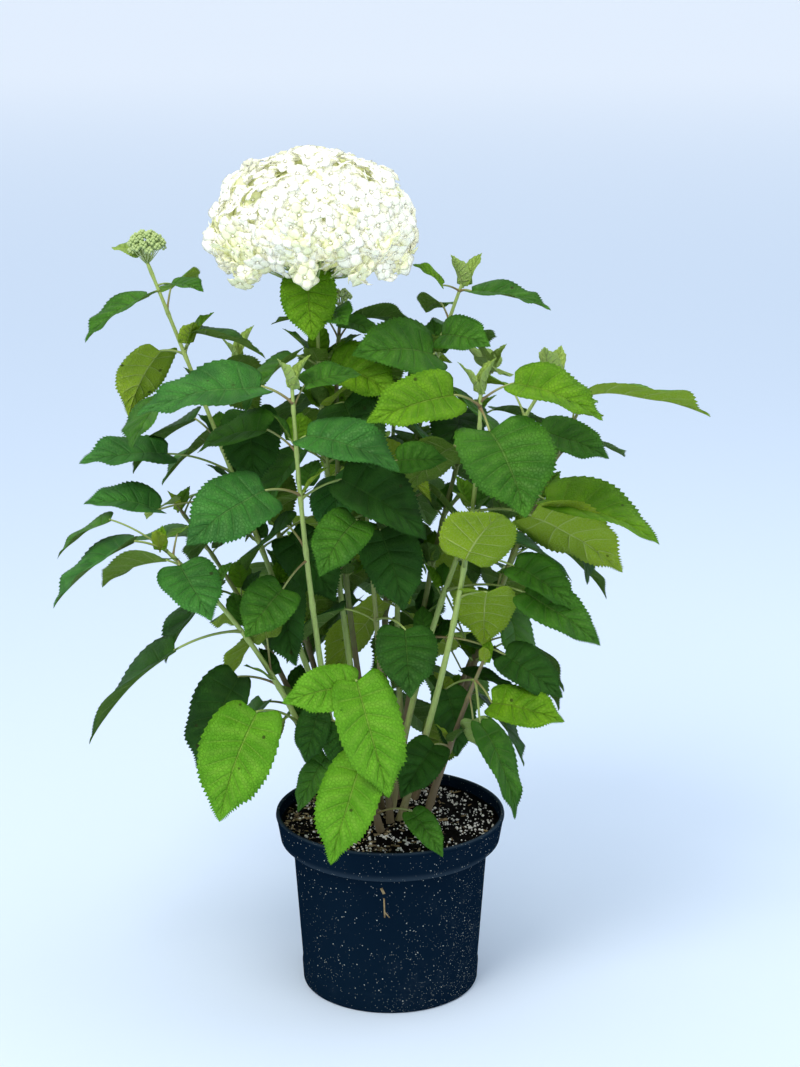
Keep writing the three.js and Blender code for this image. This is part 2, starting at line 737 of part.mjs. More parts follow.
// The head's own short stalk leaves the cane's tip in the cane's direction.
function headStalk(cane, top) {
  const { path } = tops[cane];
  const along = path.getTangent(1);
  const start = path.getPoint(1).addScaledVector(along, CLEARANCE);
  const control = start.clone().addScaledVector(along, start.distanceTo(top) / 2);
  const curve = new THREE.QuadraticBezierCurve3(start, control, top);
  return limb(curve, 0, 1, () => CANE.tipRadius, CANE.sides, 2);
}

function bloomGeometry() {
  const core = shaped(new THREE.SphereGeometry(1, 11, 7), (point) => (
    bloomSurface(point.clone().normalize(), BLOOM.floretDepth * 0.8)));
  const florets = spread(BLOOM.florets, -0.8).map(floretGeometry);
  const bunches = BLOOM.bunches.map(([x, y, z, radius]) => (
    shaped(new THREE.SphereGeometry(radius, 6, 4), (point) => point.clone().add(vector([x, y, z])))));
  return fused([core, headStalk('bloom', vector(BLOOM.centre)), ...florets, ...bunches]);
}

function budHeadGeometry({ cane, radius, height, buds }) {
  const tip = vector(CANES[cane].tip);
  const centre = tip.clone().addScaledVector(UP, radius);
  const domed = (direction, share) => centre.clone().add(
    direction.clone().multiply(new THREE.Vector3(radius, radius, height)).multiplyScalar(share));
  const core = shaped(new THREE.SphereGeometry(1, 8, 5), (point) => domed(point, HEAD_CORE));
  const knobs = spread(buds, -0.35).map((direction) => {
    const middle = domed(direction, 1);
    return shaped(new THREE.OctahedronGeometry(radius * 0.24), (point) => point.clone().add(middle));
  });
  return fused([core, headStalk(cane, centre), ...knobs]);
}

addNode('bloom_head', bloomGeometry(), FINISHES.bloom());
Object.entries(BUD_HEADS).forEach(([name, head]) => addNode(name, budHeadGeometry(head), FINISHES.buds()));

export default shrub;
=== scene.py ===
# %% [markdown]
# # A hydrangea in its nursery pot
# This notebook dresses a plain solid model of a young garden hydrangea: a black plastic pot of compost,
# eighteen upright canes, broad toothed leaves in pairs, one white mophead bloom and two heads of green
# buds. The solid model fixes every size and place. Here each solid is replaced by finer pieces, which
# grow from the same canes by the same rule, and every piece gets a finish made from nodes.

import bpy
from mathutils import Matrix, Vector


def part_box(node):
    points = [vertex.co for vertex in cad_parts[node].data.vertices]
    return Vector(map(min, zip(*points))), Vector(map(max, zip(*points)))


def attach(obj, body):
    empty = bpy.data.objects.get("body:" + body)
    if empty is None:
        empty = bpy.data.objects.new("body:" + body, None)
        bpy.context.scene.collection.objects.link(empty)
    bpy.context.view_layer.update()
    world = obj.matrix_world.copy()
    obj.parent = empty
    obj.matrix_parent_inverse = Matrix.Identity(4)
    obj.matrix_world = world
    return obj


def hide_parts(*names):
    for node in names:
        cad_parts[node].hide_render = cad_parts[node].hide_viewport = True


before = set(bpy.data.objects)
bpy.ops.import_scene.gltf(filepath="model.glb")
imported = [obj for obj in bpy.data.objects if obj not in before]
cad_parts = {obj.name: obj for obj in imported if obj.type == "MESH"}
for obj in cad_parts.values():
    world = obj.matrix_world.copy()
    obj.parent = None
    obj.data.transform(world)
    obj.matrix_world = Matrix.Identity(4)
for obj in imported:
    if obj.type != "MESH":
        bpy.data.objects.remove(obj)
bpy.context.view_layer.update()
print("solids in the frame:", len(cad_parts))

# %% Tools used all through
import math
from types import SimpleNamespace

import bpy
import numpy as np
from mathutils import Vector, noise

MM = 0.001  # the plant's own sizes are in millimetres, and Blender's are in metres


def clear_selection():
    if bpy.context.mode != "OBJECT":
        bpy.ops.object.mode_set(mode="OBJECT")
    bpy.ops.object.select_all(action="DESELECT")


def edit_all():
    """Opens the active piece for editing, with everything on it selected."""
    bpy.ops.object.mode_set(mode="EDIT")
    bpy.ops.mesh.select_all(action="SELECT")


def edit_done():
    bpy.ops.object.mode_set(mode="OBJECT")


def keep(piece, nodes=()):
    """Puts a finished piece on the plant's one body, and hides the solids that it stands for."""
    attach(piece, "root")
    if nodes:
        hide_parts(*nodes)
    triangles = sum(len(face.vertices) - 2 for face in piece.data.polygons)
    print(f"{piece.name}: {triangles} triangles, stands for {len(nodes)} solids")


# %% [markdown]
# ## Camera
# The plant is seen from the sunny side, from a standing person's height and a little above. A real lens
# could be given as a focal length alone, but a lens and a sensor height together hold the upright frame.

# %% Camera
CAMERA_PLACE = (0.012, -2.486, 1.2188)
CAMERA_TILT = 14.65  # degrees below the level
SENSOR = 36.0
LENS = 73.2

camera = bpy.data.objects.new("camera", bpy.data.cameras.new("camera"))
bpy.context.scene.collection.objects.link(camera)
camera.data.sensor_fit = "VERTICAL"
camera.data.sensor_height = SENSOR
camera.data.sensor_width = SENSOR
camera.data.lens = LENS
camera.location = CAMERA_PLACE
camera.rotation_euler = (math.radians(90 - CAMERA_TILT), 0, 0)
bpy.context.scene.camera = camera
print("camera at", CAMERA_PLACE)

# %% [markdown]
# ## Floor and light
# A plain pale floor and a pale sky keep the eye on the plant. Direct sun would draw hard black shadows
# between the leaves, so the light comes from one wide soft panel overhead on the sunny side, a weaker
# one on the other side, and the sky itself, which also gives the leaves their bluish gloss. Colours are
# shown by the plain Standard curve, so that a colour off a paint card looks as it does on the card.

# %% Floor and light
SKY_COLOUR = (0.84, 0.92, 1.0, 1)
SKY_STRENGTH = 1.0
FLOOR_SIZE = 400
FLOOR_NEAR = (0.66, 0.76, 0.91, 1)
# Painted light: the far floor colour is paler, where the panels light the floor less, so that it reads as a
# lit backdrop.
FLOOR_FAR_PAINTED_LIGHT = (0.9, 0.93, 1.0, 1)
FLOOR_FADE = (1.5, 25)  # metres from the middle, from the near colour to the far one
PANELS = {
    "key_panel": {"place": (-1.0, -1.7, 2.9), "size": 1.3, "watts": 62, "colour": (1.0, 0.95, 0.84)},
    "fill_panel": {"place": (2.2, 0.9, 2.2), "size": 2.0, "watts": 14, "colour": (1.0, 1.0, 1.0)},
}
PLANT_MIDDLE = Vector((0, 0, 0.55))

sky = bpy.data.worlds.new("sky")
sky.use_nodes = True
sky.node_tree.nodes["Background"].inputs["Color"].default_value = SKY_COLOUR
sky.node_tree.nodes["Background"].inputs["Strength"].default_value = SKY_STRENGTH
bpy.context.scene.world = sky
bpy.context.scene.view_settings.view_transform = "Standard"

for panel_name, panel in PANELS.items():
    light = bpy.data.objects.new(panel_name, bpy.data.lights.new(panel_name, "AREA"))
    light.data.size = panel["size"]
    light.data.energy = panel["watts"]
    light.data.color = panel["colour"]
    light.location = panel["place"]
    light.rotation_euler = (PLANT_MIDDLE - light.location).to_track_quat("-Z", "Y").to_euler()
    bpy.context.scene.collection.objects.link(light)

clear_selection()
bpy.ops.mesh.primitive_plane_add(size=FLOOR_SIZE)
floor = bpy.context.object
floor.name = "floor"
floor_paint = bpy.data.materials.new("floor_paint")
floor_paint.use_nodes = True
floor.data.materials.append(floor_paint)
print("lights:", ", ".join(PANELS))

# %% [markdown]
# ## Writing finishes
# A finish is a tree of nodes. Drawn by hand, a sum such as one minus a mask is a box with two wires.
# Wrapping a wire in a small class lets Python's own signs add those boxes, so a finish reads as a
# formula. Every other kind of box comes from one method.


# %% A wire that can be summed
class Wire:
    """A socket of a finish's node tree. Signs between wires and numbers add Math nodes."""

    def __init__(self, tree, socket=None):
        self.tree = tree
        self.socket = socket

    def node(self, kind, settings=None, sockets=None, output=0):
        """Adds a node: its settings first, then its sockets, each a number, a colour or another wire."""
        made = self.tree.nodes.new(kind)
        for name, value in (settings or {}).items():
            setattr(made, name, value)
        for name, value in (sockets or {}).items():
            if isinstance(value, Wire):
                self.tree.links.new(value.socket, made.inputs[name])
            else:
                made.inputs[name].default_value = value
        return Wire(self.tree, made.outputs[output])

    def maths(self, operation, first, second=0.0):
        return self.node("ShaderNodeMath", {"operation": operation}, {0: first, 1: second})

    def __add__(self, other):
        return self.maths("ADD", self, other)

    __radd__ = __add__

    def __sub__(self, other):
        return self.maths("SUBTRACT", self, other)

    def __rsub__(self, other):
        return self.maths("SUBTRACT", other, self)

    def __mul__(self, other):
        return self.maths("MULTIPLY", self, other)

    __rmul__ = __mul__

    def part(self, axis):
        """The X, Y or Z of a place or a chart, or one share of a colour."""
        return self.node("ShaderNodeSeparateXYZ", {}, {0: self}, axis)

    def step(self, low, high):
        """Zero below low, one above high, and a soft slope between. High may be the smaller one."""
        return self.node("ShaderNodeMapRange", {"interpolation_type": "SMOOTHSTEP"},
                         {"Value": self, "From Min": low, "From Max": high})

    def mix(self, first, second):
        """A colour between two colours, with this wire as the share of the second."""
        return self.node("ShaderNodeMix", {"data_type": "RGBA"}, {0: self, 6: first, 7: second}, 2)


def paint(colour):
    """A colour written as on a paint card, such as #3a5a12, in the linear values of a socket."""
    shares = [int(colour[i:i + 2], 16) / 255 for i in (1, 3, 5)]
    return [s / 12.92 if s <= 0.04045 else ((s + 0.055) / 1.055) ** 2.4 for s in shares] + [1]


def start_finish(name):
    """A new finish and a wire to begin with, which carries the place in the object's own coordinates."""
    finish = bpy.data.materials.new(name)
    finish.use_nodes = True
    start = Wire(finish.node_tree)
    return finish, start.node("ShaderNodeTexCoord", output="Object")


def grain(place, size, detail=3.0, rough=0.55):
    """Cloudy noise from 0 to 1 whose clouds are about size metres across."""
    return place.node("ShaderNodeTexNoise", {}, {
        "Vector": place, "Scale": 1 / size, "Detail": detail, "Roughness": rough})


def cells(place, scale, output="Distance", feature="F1"):
    """Irregular cells, about scale of them to the metre: the distance in them, or a colour for each."""
    return place.node("ShaderNodeTexVoronoi", {"feature": feature}, {"Vector": place, "Scale": scale}, output)


def lit(finish, colour, strength):
    """Gives a finish a little light of its own."""
    surface = finish.node_tree.nodes["Principled BSDF"]
    surface.inputs["Emission Color"].default_value = paint(colour)
    surface.inputs["Emission Strength"].default_value = strength


def finish_surface(finish, place, colour, roughness, height=None, relief=0.0, gloss=0.5, glow=None):
    """Wires a colour, a roughness and a height in metres to the surface. Glow is the share of light let
    through a thin blade, with the colour that this light takes."""
    nodes = finish.node_tree.nodes
    surface = nodes["Principled BSDF"]
    for name, value in {"Base Color": colour, "Roughness": roughness}.items():
        if isinstance(value, Wire):
            finish.node_tree.links.new(value.socket, surface.inputs[name])
        else:
            surface.inputs[name].default_value = value
    surface.inputs["Specular IOR Level"].default_value = gloss
    if height is not None:
        bump = place.node("ShaderNodeBump", {}, {"Strength": 1.0, "Distance": relief, "Height": height})
        finish.node_tree.links.new(bump.socket, surface.inputs["Normal"])
    if glow:
        share, through = glow
        light = place.node("ShaderNodeBsdfTranslucent", {}, {"Color": through})
        both = place.node("ShaderNodeMixShader", {}, {0: share, 2: light})
        finish.node_tree.links.new(surface.outputs[0], both.socket.node.inputs[1])
        finish.node_tree.links.new(both.socket, nodes["Material Output"].inputs["Surface"])
    return finish


print("finish tools ready")

# %% [markdown]
# The floor is painted paler with distance, a painted light that stands in for a studio sweep lit brightly
# where it turns up into the wall.

# %% Floor finish
place = Wire(floor_paint.node_tree).node("ShaderNodeTexCoord", output="Object")
away = place.node("ShaderNodeVectorMath", {"operation": "LENGTH"}, {0: place}, "Value")
# Painted light: the floor's colour pales with distance from the plant.
finish_surface(floor_paint, place, away.step(*FLOOR_FADE).mix(FLOOR_NEAR, FLOOR_FAR_PAINTED_LIGHT), 0.9)

# %% [markdown]
# ## Pot
# The pot is thin black plastic, drawn hot over a mould: a wall that leans out, a wide band near the top
# and a rolled lip. It could be built from stacked cylinders, but a real one is round about one axis, so
# its section is drawn as a line of points, its corners are rounded by a bevel, and the line is spun.


# %% Spin a section
def spun(name, section, steps, rounding=0.0):
    """Spins a section, a list of (radius, height) in metres, once round the upright axis."""
    clear_selection()
    bpy.ops.mesh.primitive_circle_add(vertices=len(section), radius=1)
    piece = bpy.context.object
    piece.name = name
    for point, (radius, height) in zip(piece.data.vertices, section):
        point.co = (radius, 0, height)
    edit_all()
    if rounding:
        bpy.ops.mesh.bevel(offset=rounding, segments=3, affect="VERTICES")
        bpy.ops.mesh.select_all(action="SELECT")
    bpy.ops.mesh.spin(steps=steps, angle=2 * math.pi, center=(0, 0, 0), axis=(0, 0, 1))
    bpy.ops.mesh.select_all(action="SELECT")
    bpy.ops.mesh.remove_doubles(threshold=0.00002)
    bpy.ops.mesh.normals_make_consistent(inside=False)
    edit_done()
    bpy.ops.object.shade_smooth_by_angle(angle=math.radians(38))
    return piece


RIM_RADIUS, _, POT_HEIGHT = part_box("pot")[1]
FOOT_RADIUS = 0.108
WALL_TOP_RADIUS = 0.119
BAND_FOOT = 0.180
BAND_RADIUS = 0.134
LIP = 0.0045
WALL = 0.0024

pot_section = [
    (0.0, 0.0), (FOOT_RADIUS - 0.002, 0.0), (FOOT_RADIUS, 0.002),
    (FOOT_RADIUS + 0.0014, 0.024), (FOOT_RADIUS + 0.0004, 0.026),
    (WALL_TOP_RADIUS, BAND_FOOT - 0.002), (BAND_RADIUS - 0.006, BAND_FOOT),
    (BAND_RADIUS, BAND_FOOT + 0.006), (RIM_RADIUS - 0.0012, POT_HEIGHT - LIP - 0.001),
    (RIM_RADIUS, POT_HEIGHT - LIP), (RIM_RADIUS - 0.0008, POT_HEIGHT),
    (RIM_RADIUS - LIP, POT_HEIGHT), (BAND_RADIUS - WALL, BAND_FOOT + 0.008),
    (WALL_TOP_RADIUS - WALL, BAND_FOOT - 0.001), (FOOT_RADIUS - WALL, WALL), (0.0, WALL),
]
pot = spun("pot_shell", pot_section, 160, rounding=0.0011)
print("pot", round(2 * RIM_RADIUS, 3), "across,", round(POT_HEIGHT, 3), "high")

# %% [markdown]
# The plastic is satin black with a blue cast. Rain has splashed white perlite dust on it in fine specks,
# thickest low down on one side. The lip and the band's lower edge are painted pale, a painted highlight.
# Specks could be modelled, but they are thinner than paint, so they are dots in the finish.

# %% Pot finish
pot_finish, place = start_finish("pot_plastic")
aside = place.part("X")
height_in = place.part("Z")
clouds = grain(place, 0.05, 3)
splashed = (clouds + aside * 1.8 - height_in * 1.8).step(0.22, 0.7)


def specks_of(place, size, share, crowd):
    """Round dots about size metres across, on a share of the cells, more of them where crowd is high."""
    nearness = cells(place, 0.5 / size)
    throw = cells(place, 0.5 / size, "Color").part("X")
    return nearness.step(0.34, 0.2) * (throw + crowd * share).step(0.97, 1.0)


large_specks = specks_of(place, 0.0011, 0.02, clouds)
fine_specks = specks_of(place, 0.00055, 0.1, splashed) * 0.8
specks = place.maths("MAXIMUM", large_specks, fine_specks)
haze = grain(place, 0.02, 5, 0.7).step(0.45, 0.95) * (splashed * 0.09 + 0.01)
# Painted highlight: a pale line along the lip and another under the band's lower edge.
lip_highlight = height_in.step(POT_HEIGHT - 0.003, POT_HEIGHT) * 0.14
above_edge = height_in.step(BAND_FOOT + 0.012, BAND_FOOT + 0.003)
band_edge_highlight = height_in.step(BAND_FOOT - 0.004, BAND_FOOT + 0.001) * above_edge
plastic = (haze + lip_highlight + band_edge_highlight * 0.14).mix(paint("#0a1a29"), paint("#6a7c88"))
plastic = specks.mix(plastic, paint("#d9dccf"))
wear = grain(place, 0.004, 4, 0.6)
finish_surface(pot_finish, place, plastic, clouds * 0.14 + (haze * 0.9 + 0.34), wear + specks * 2, 0.00012,
               gloss=0.0)
pot.data.materials.append(pot_finish)
keep(pot, ["pot"])

# %% [markdown]
# ## Compost
# The compost is dark peat with white perlite grains, scraps of bark and tan fibres. Its top lies a little
# below the lip, falls to the wall and is lumpy. The same spinning makes the bed, in fine rings so that
# its points can be pushed up and down by noise. The grains are modelled once each and copied.

# %% Compost bed
COMPOST_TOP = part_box("compost")[1].z
BED_RADIUS = RIM_RADIUS - LIP - 0.0015
BED_EDGE = COMPOST_TOP - 0.005
BED_FLOOR = 0.004
BED_GAP = 0.001  # room between the bed and the pot's wall
BED_RINGS = 34
DENT = (0.028, -0.055)  # a finger's dent in the compost, its depth and the square of its reach
DENT_DEPTH = 0.007
DENT_SPREAD = 0.0004


def bed_height(x, y):
    """The lumpy top of the compost, never above the flat top of its solid by more than a grain."""
    far = math.hypot(x, y) / BED_RADIUS
    lumps = noise.noise(Vector((x * 38, y * 38, 3))) * 0.0028
    lumps += noise.noise(Vector((x * 130, y * 130, 7))) * 0.0012
    dent = DENT_DEPTH * math.exp(-((x - DENT[0]) ** 2 + (y - DENT[1]) ** 2) / DENT_SPREAD)
    return COMPOST_TOP - 0.0035 * far ** 6 - 0.0018 + lumps - dent


bed_section = [
    (0.0, BED_FLOOR), (FOOT_RADIUS - WALL - BED_GAP, BED_FLOOR),
    (WALL_TOP_RADIUS - WALL - BED_GAP, BAND_FOOT - 0.001),
    (BAND_RADIUS - WALL - BED_GAP, BAND_FOOT + 0.008),
]
bed_section += [(BED_RADIUS * (1 - ring / BED_RINGS), BED_EDGE) for ring in range(BED_RINGS + 1)]
bed = spun("compost_bed", bed_section, 120)
for point in bed.data.vertices:
    if point.co.z > BED_EDGE - 0.001:
        reach = min(1.0, BED_RADIUS / max(1e-6, math.hypot(point.co.x, point.co.y)))
        point.co.z = bed_height(point.co.x * reach, point.co.y * reach)
print("compost bed rings:", BED_RINGS)

# %% Compost finish
bed_finish, place = start_finish("compost_peat")
clods = grain(place, 0.006, 6, 0.7)
patches = grain(place, 0.05, 2)
peat = clods.step(0.3, 0.8).mix(paint("#030302"), paint("#0f0c09"))
peat = (patches.step(0.62, 0.74) * clods.step(0.45, 0.62)).mix(peat, paint("#6b5b43"))
crumbs = cells(place, 420).step(0.1, 0.5)
finish_surface(bed_finish, place, peat, 0.9, clods * 2 + crumbs, 0.0016, gloss=0.04)
bed.data.materials.append(bed_finish)
keep(bed, ["compost"])

# %% [markdown]
# ## Patterns: one model, many copies
# A plant is a few shapes repeated: a grain, a leaf, a length of stem, a sepal, a bud. Each is modelled once
# by operators. Copying whole objects hundreds of times would be slow and heavy, so the pattern's points are
# read into arrays, placed for every copy, and joined as one mesh with one finish.


# %% Read a pattern and join its copies
def values(owner, name, width=1, kind=int):
    """One kind of value read from all the points, corners or faces of a mesh."""
    found = np.empty(len(owner) * width, kind)
    owner.foreach_get(name, found)
    return found


def read_pattern(piece):
    """Takes a modelled piece apart into arrays, and removes the piece."""
    mesh = piece.data
    chart = np.zeros(len(mesh.loops) * 2)
    if mesh.uv_layers:
        chart = values(mesh.uv_layers[0].data, "uv", 2, float)
    pattern = SimpleNamespace(
        points=values(mesh.vertices, "co", 3, float).reshape(-1, 3),
        corners=values(mesh.loops, "vertex_index"),
        sizes=values(mesh.polygons, "loop_total"),
        kinds=values(mesh.polygons, "material_index"),
        chart=chart.reshape(-1, 2),
    )
    bpy.data.objects.remove(piece)
    return pattern


def join_copies(name, pattern, placed, finishes):
    """One mesh of many copies. Placed is a list of arrays of points in metres, one for each copy."""
    count = len(placed)
    points = np.concatenate(placed)
    corners = (pattern.corners[None] + np.arange(count)[:, None] * len(pattern.points)).ravel()
    sizes = np.tile(pattern.sizes, count)
    mesh = bpy.data.meshes.new(name)
    mesh.vertices.add(len(points))
    mesh.loops.add(len(corners))
    mesh.polygons.add(len(sizes))
    for owner, value_name, new_values, kind in (
        (mesh.vertices, "co", points, np.float32),
        (mesh.loops, "vertex_index", corners, np.int32),
        (mesh.polygons, "loop_start", np.cumsum(sizes) - sizes, np.int32),
        (mesh.polygons, "loop_total", sizes, np.int32),
        (mesh.polygons, "material_index", np.tile(pattern.kinds, count), np.int32),
        (mesh.polygons, "use_smooth", np.ones(len(sizes)), bool),
    ):
        owner.foreach_set(value_name, new_values.astype(kind).ravel())
    layer = mesh.uv_layers.new(name="chart")
    layer.data.foreach_set("uv", np.tile(pattern.chart, (count, 1)).astype(np.float32).ravel())
    mesh.update(calc_edges=True)
    mesh.validate()
    piece = bpy.data.objects.new(name, mesh)
    bpy.context.scene.collection.objects.link(piece)
    for finish in finishes:
        mesh.materials.append(finish)
    return piece


def turned(points, spin, tilt=0.0):
    """Turns points about the upright axis after tipping them about X. Angles are in radians."""
    c, s = math.cos(tilt), math.sin(tilt)
    tipped = points @ np.array([[1, 0, 0], [0, c, s], [0, -s, c]])
    c, s = math.cos(spin), math.sin(spin)
    return tipped @ np.array([[c, s, 0], [-s, c, 0], [0, 0, 1]])


rng = np.random.default_rng(20241)
print("pattern tools ready")

# %% Grains on the compost
CHIP_SHAPE = (1, 0.32, 0.12)
CLUMPS = 40  # clumps of grains to the metre
BED_MARGIN = 0.006  # room between the grains and the wall

clear_selection()
bpy.ops.mesh.primitive_ico_sphere_add(subdivisions=1, radius=1)
edit_all()
bpy.ops.transform.vertex_random(offset=0.3, seed=4)
edit_done()
grain_pattern = read_pattern(bpy.context.object)

clear_selection()
bpy.ops.mesh.primitive_cube_add(size=2)
bpy.ops.transform.resize(value=CHIP_SHAPE)
edit_all()
bpy.ops.mesh.subdivide(number_cuts=1)
bpy.ops.transform.vertex_random(offset=0.12, seed=9)
edit_done()
bpy.ops.object.transform_apply(location=True, rotation=True, scale=True)
chip_pattern = read_pattern(bpy.context.object)


def strewn(pattern, count, size_low, size_high, lift, lean, patches, to_right):
    """Copies strewn over the compost in loose patches, each turned at random and part sunk."""
    placed = []
    while len(placed) < count:
        far = (BED_RADIUS - BED_MARGIN) * math.sqrt(rng.random())
        angle = rng.random() * 2 * math.pi
        x, y = far * math.cos(angle), far * math.sin(angle)
        crowd = noise.noise(Vector((x * CLUMPS, y * CLUMPS, patches))) + to_right * x / BED_RADIUS
        if crowd < 0.9 * rng.random() - 0.45:
            continue
        size = size_low + (size_high - size_low) * rng.random() ** 2
        points = turned(pattern.points * size, rng.random() * 6.28, (rng.random() - 0.5) * lean)
        placed.append(points + np.array([x, y, bed_height(x, y) + lift * size]))
    return placed


def scrap_finish(name, dark, pale, cloud, relief, gloss):
    finish, place = start_finish(name)
    colour = grain(place, cloud).step(0.35, 0.65).mix(paint(dark), paint(pale))
    return finish_surface(finish, place, colour, 0.85, grain(place, 0.001, 4), relief, gloss=gloss)


perlite_finish, place = start_finish("perlite_white")
chalk = grain(place, 0.0015).mix(paint("#cfcdc4"), paint("#fbfaf5"))
finish_surface(perlite_finish, place, chalk, 0.85, grain(place, 0.0006), 0.0003, gloss=0.3)
bark_finish = scrap_finish("bark_scraps", "#1d150d", "#a38c63", 0.02, 0.0004, 0.3)
fibre_finish = scrap_finish("peat_fibres", "#5d4f39", "#b3a382", 0.006, 0.0003, 0.2)
STREWN = [
    # name, pattern, finish, count, smallest and largest, lift, lean, patches, share to the right
    ("perlite", grain_pattern, perlite_finish, 1150, 0.0006, 0.0021, 0.5, 3, 11, 0.2),
    ("bark_bits", chip_pattern, bark_finish, 170, 0.0015, 0.006, 0.2, 1.1, 23, -0.35),
    ("peat_fibres", chip_pattern, fibre_finish, 520, 0.0011, 0.0042, 0.3, 1.4, 31, -1.0),
]
for name, pattern, finish, *rule in STREWN:
    keep(join_copies(name, pattern, strewn(pattern, *rule), [finish]))

# %% [markdown]
# A stem of straw and two flakes have dried onto the front of the pot. They are bark scraps drawn long and
# thin. Each point is pushed back to the wall's own radius at its height, so the straw follows the slope.

# %% Straw on the wall
STRAWS = [
    # place across and up, half length, half thickness, turn in degrees
    (-0.0065, 0.1420, 0.0125, 0.0009, 2),
    (-0.0035, 0.1330, 0.0050, 0.0007, 38),
    (-0.0085, 0.1640, 0.0040, 0.0016, 24),
]
STRAW_LIFT = 0.0024
straws = []
for across, height, half_length, half_thick, turn in STRAWS:
    flat = chip_pattern.points[:, [1, 0]] * (half_thick / CHIP_SHAPE[1], half_length)
    c, s = math.cos(math.radians(turn)), math.sin(math.radians(turn))
    x = across + flat[:, 0] * c - flat[:, 1] * s
    z = height + flat[:, 0] * s + flat[:, 1] * c
    wall = FOOT_RADIUS + (WALL_TOP_RADIUS - FOOT_RADIUS) * z / BAND_FOOT
    y = -np.sqrt(wall ** 2 - x ** 2) - chip_pattern.points[:, 2] * STRAW_LIFT
    straws.append(np.stack([x, y, z], 1))
keep(join_copies("straw_on_wall", chip_pattern, straws, [bark_finish]))

# %% [markdown]
# ## The plant's own rule
# Each cane is one smooth bow from the compost to its tip. Leaves sit in pairs, each pair at a right angle
# to the one below, on long thin stalks. The solid model grew them by a rule with a seeded dice, and left
# out any leaf that would touch another cane's leaves. The same numbers and the same rule are written
# again here, so the fine leaves stand exactly where the plain ones stood. The leaves that catch the eye
# were placed one by one, and their last word names the tint that each one gets.

# %% Numbers of the plant, in millimetres and degrees
CLEARANCE = 0.3
SOIL = COMPOST_TOP / MM
CANE_FOOT = 4.4
CANE_TIP = 2.0
STALK_ARCH = 0.07
CURL = 32
FOLD = 0.2
WIDTH_SHARE = 0.66
ROOT_POWER = 0.45
TIP_POWER = 1.05
TIP_BUD = 34
NEAREST = 10  # room kept between the tops of two canes
SAMPLE = 9  # how far apart the points are that are tested for it
STALK_SHARE = 0.42
NODE_STEPS = (68, 44)  # from one pair of leaves to the next, low down and at the tip
LIFTS = (0, 16, -16)  # turns that are tried for a leaf, up and down and then to each side
SWINGS = (0, 14, -14, 28, -28, 42, -42)
OPEN_FRONT = 72  # how far to each side of the sunny side a bare cane has lost its leaves
SEED = 20241
BLOOM_CENTRE = np.array([-87.0, 10.0, 930.0])
BLOOM_RADIUS = 119
BLOOM_RISE = 92
BLOOM_DROOP = 46
BUNCH_ROOM = 24
BLOOM_LOBES = [([-0.72, -0.35, -0.6], 12), ([0.42, -0.62, -0.66], 10), ([-0.1, -0.8, -0.6], -10)]

# name: foot, point halfway, tip, height of the lowest leaves, heading of the first pair, leaf length,
# and whether the leaves that hung before the cane are lost
CANES = {
    "front_left": ((-50, -10), (-88, -75, 490), (-108, -115, 770), 505, 35, 115, True),
    "left_bud": ((-35, 0), (-150, 10, 540), (-279, 10, 889), 480, 60, 110, False),
    "low_left": ((-64, -34), (-140, -60, 415), (-262, -95, 580), 330, 80, 115, True),
    "bloom": ((-18, 10), (-65, 10, 545), (-86, 10, 876), 520, 30, 105, False),
    "small_bud": ((-12, 35), (-58, 38, 560), (-57, 42, 832), 500, 75, 105, False),
    "right_top": ((26, 85), (14, 62, 545), (86, 50, 862), 520, 40, 105, False),
    "right_front": ((12, -8), (80, -70, 510), (102, -100, 762), 480, 10, 115, True),
    "right": ((2, 24), (72, -8, 520), (186, -42, 768), 420, 55, 115, True),
    "back_right": ((8, 60), (55, 92, 520), (125, 132, 745), 430, 15, 120, False),
    "low_right": ((42, -15), (78, -30, 330), (112, -48, 430), 310, 70, 85, False),
    "low_front": ((-12, -45), (-32, -78, 310), (-45, -105, 385), 255, 45, 100, False),
    "centre": ((0, -14), (-14, -25, 440), (-30, -45, 640), 400, 35, 100, True),
    "back_left": ((-46, 45), (-130, 120, 500), (-190, 180, 750), 400, 25, 120, False),
    "back": ((-8, 72), (-5, 155, 480), (10, 225, 735), 420, 65, 120, False),
    "back_far_right": ((50, 45), (140, 100, 480), (235, 150, 690), 380, 5, 120, False),
    "low_back_left": ((-66, 25), (-150, 75, 400), (-262, 110, 575), 330, 50, 120, False),
    "low_back_right": ((30, 62), (105, 150, 370), (170, 225, 520), 310, 85, 115, False),
    "low_back": ((-28, 60), (-60, 155, 350), (-95, 245, 500), 300, 30, 115, False),
}
print("canes:", len(CANES))
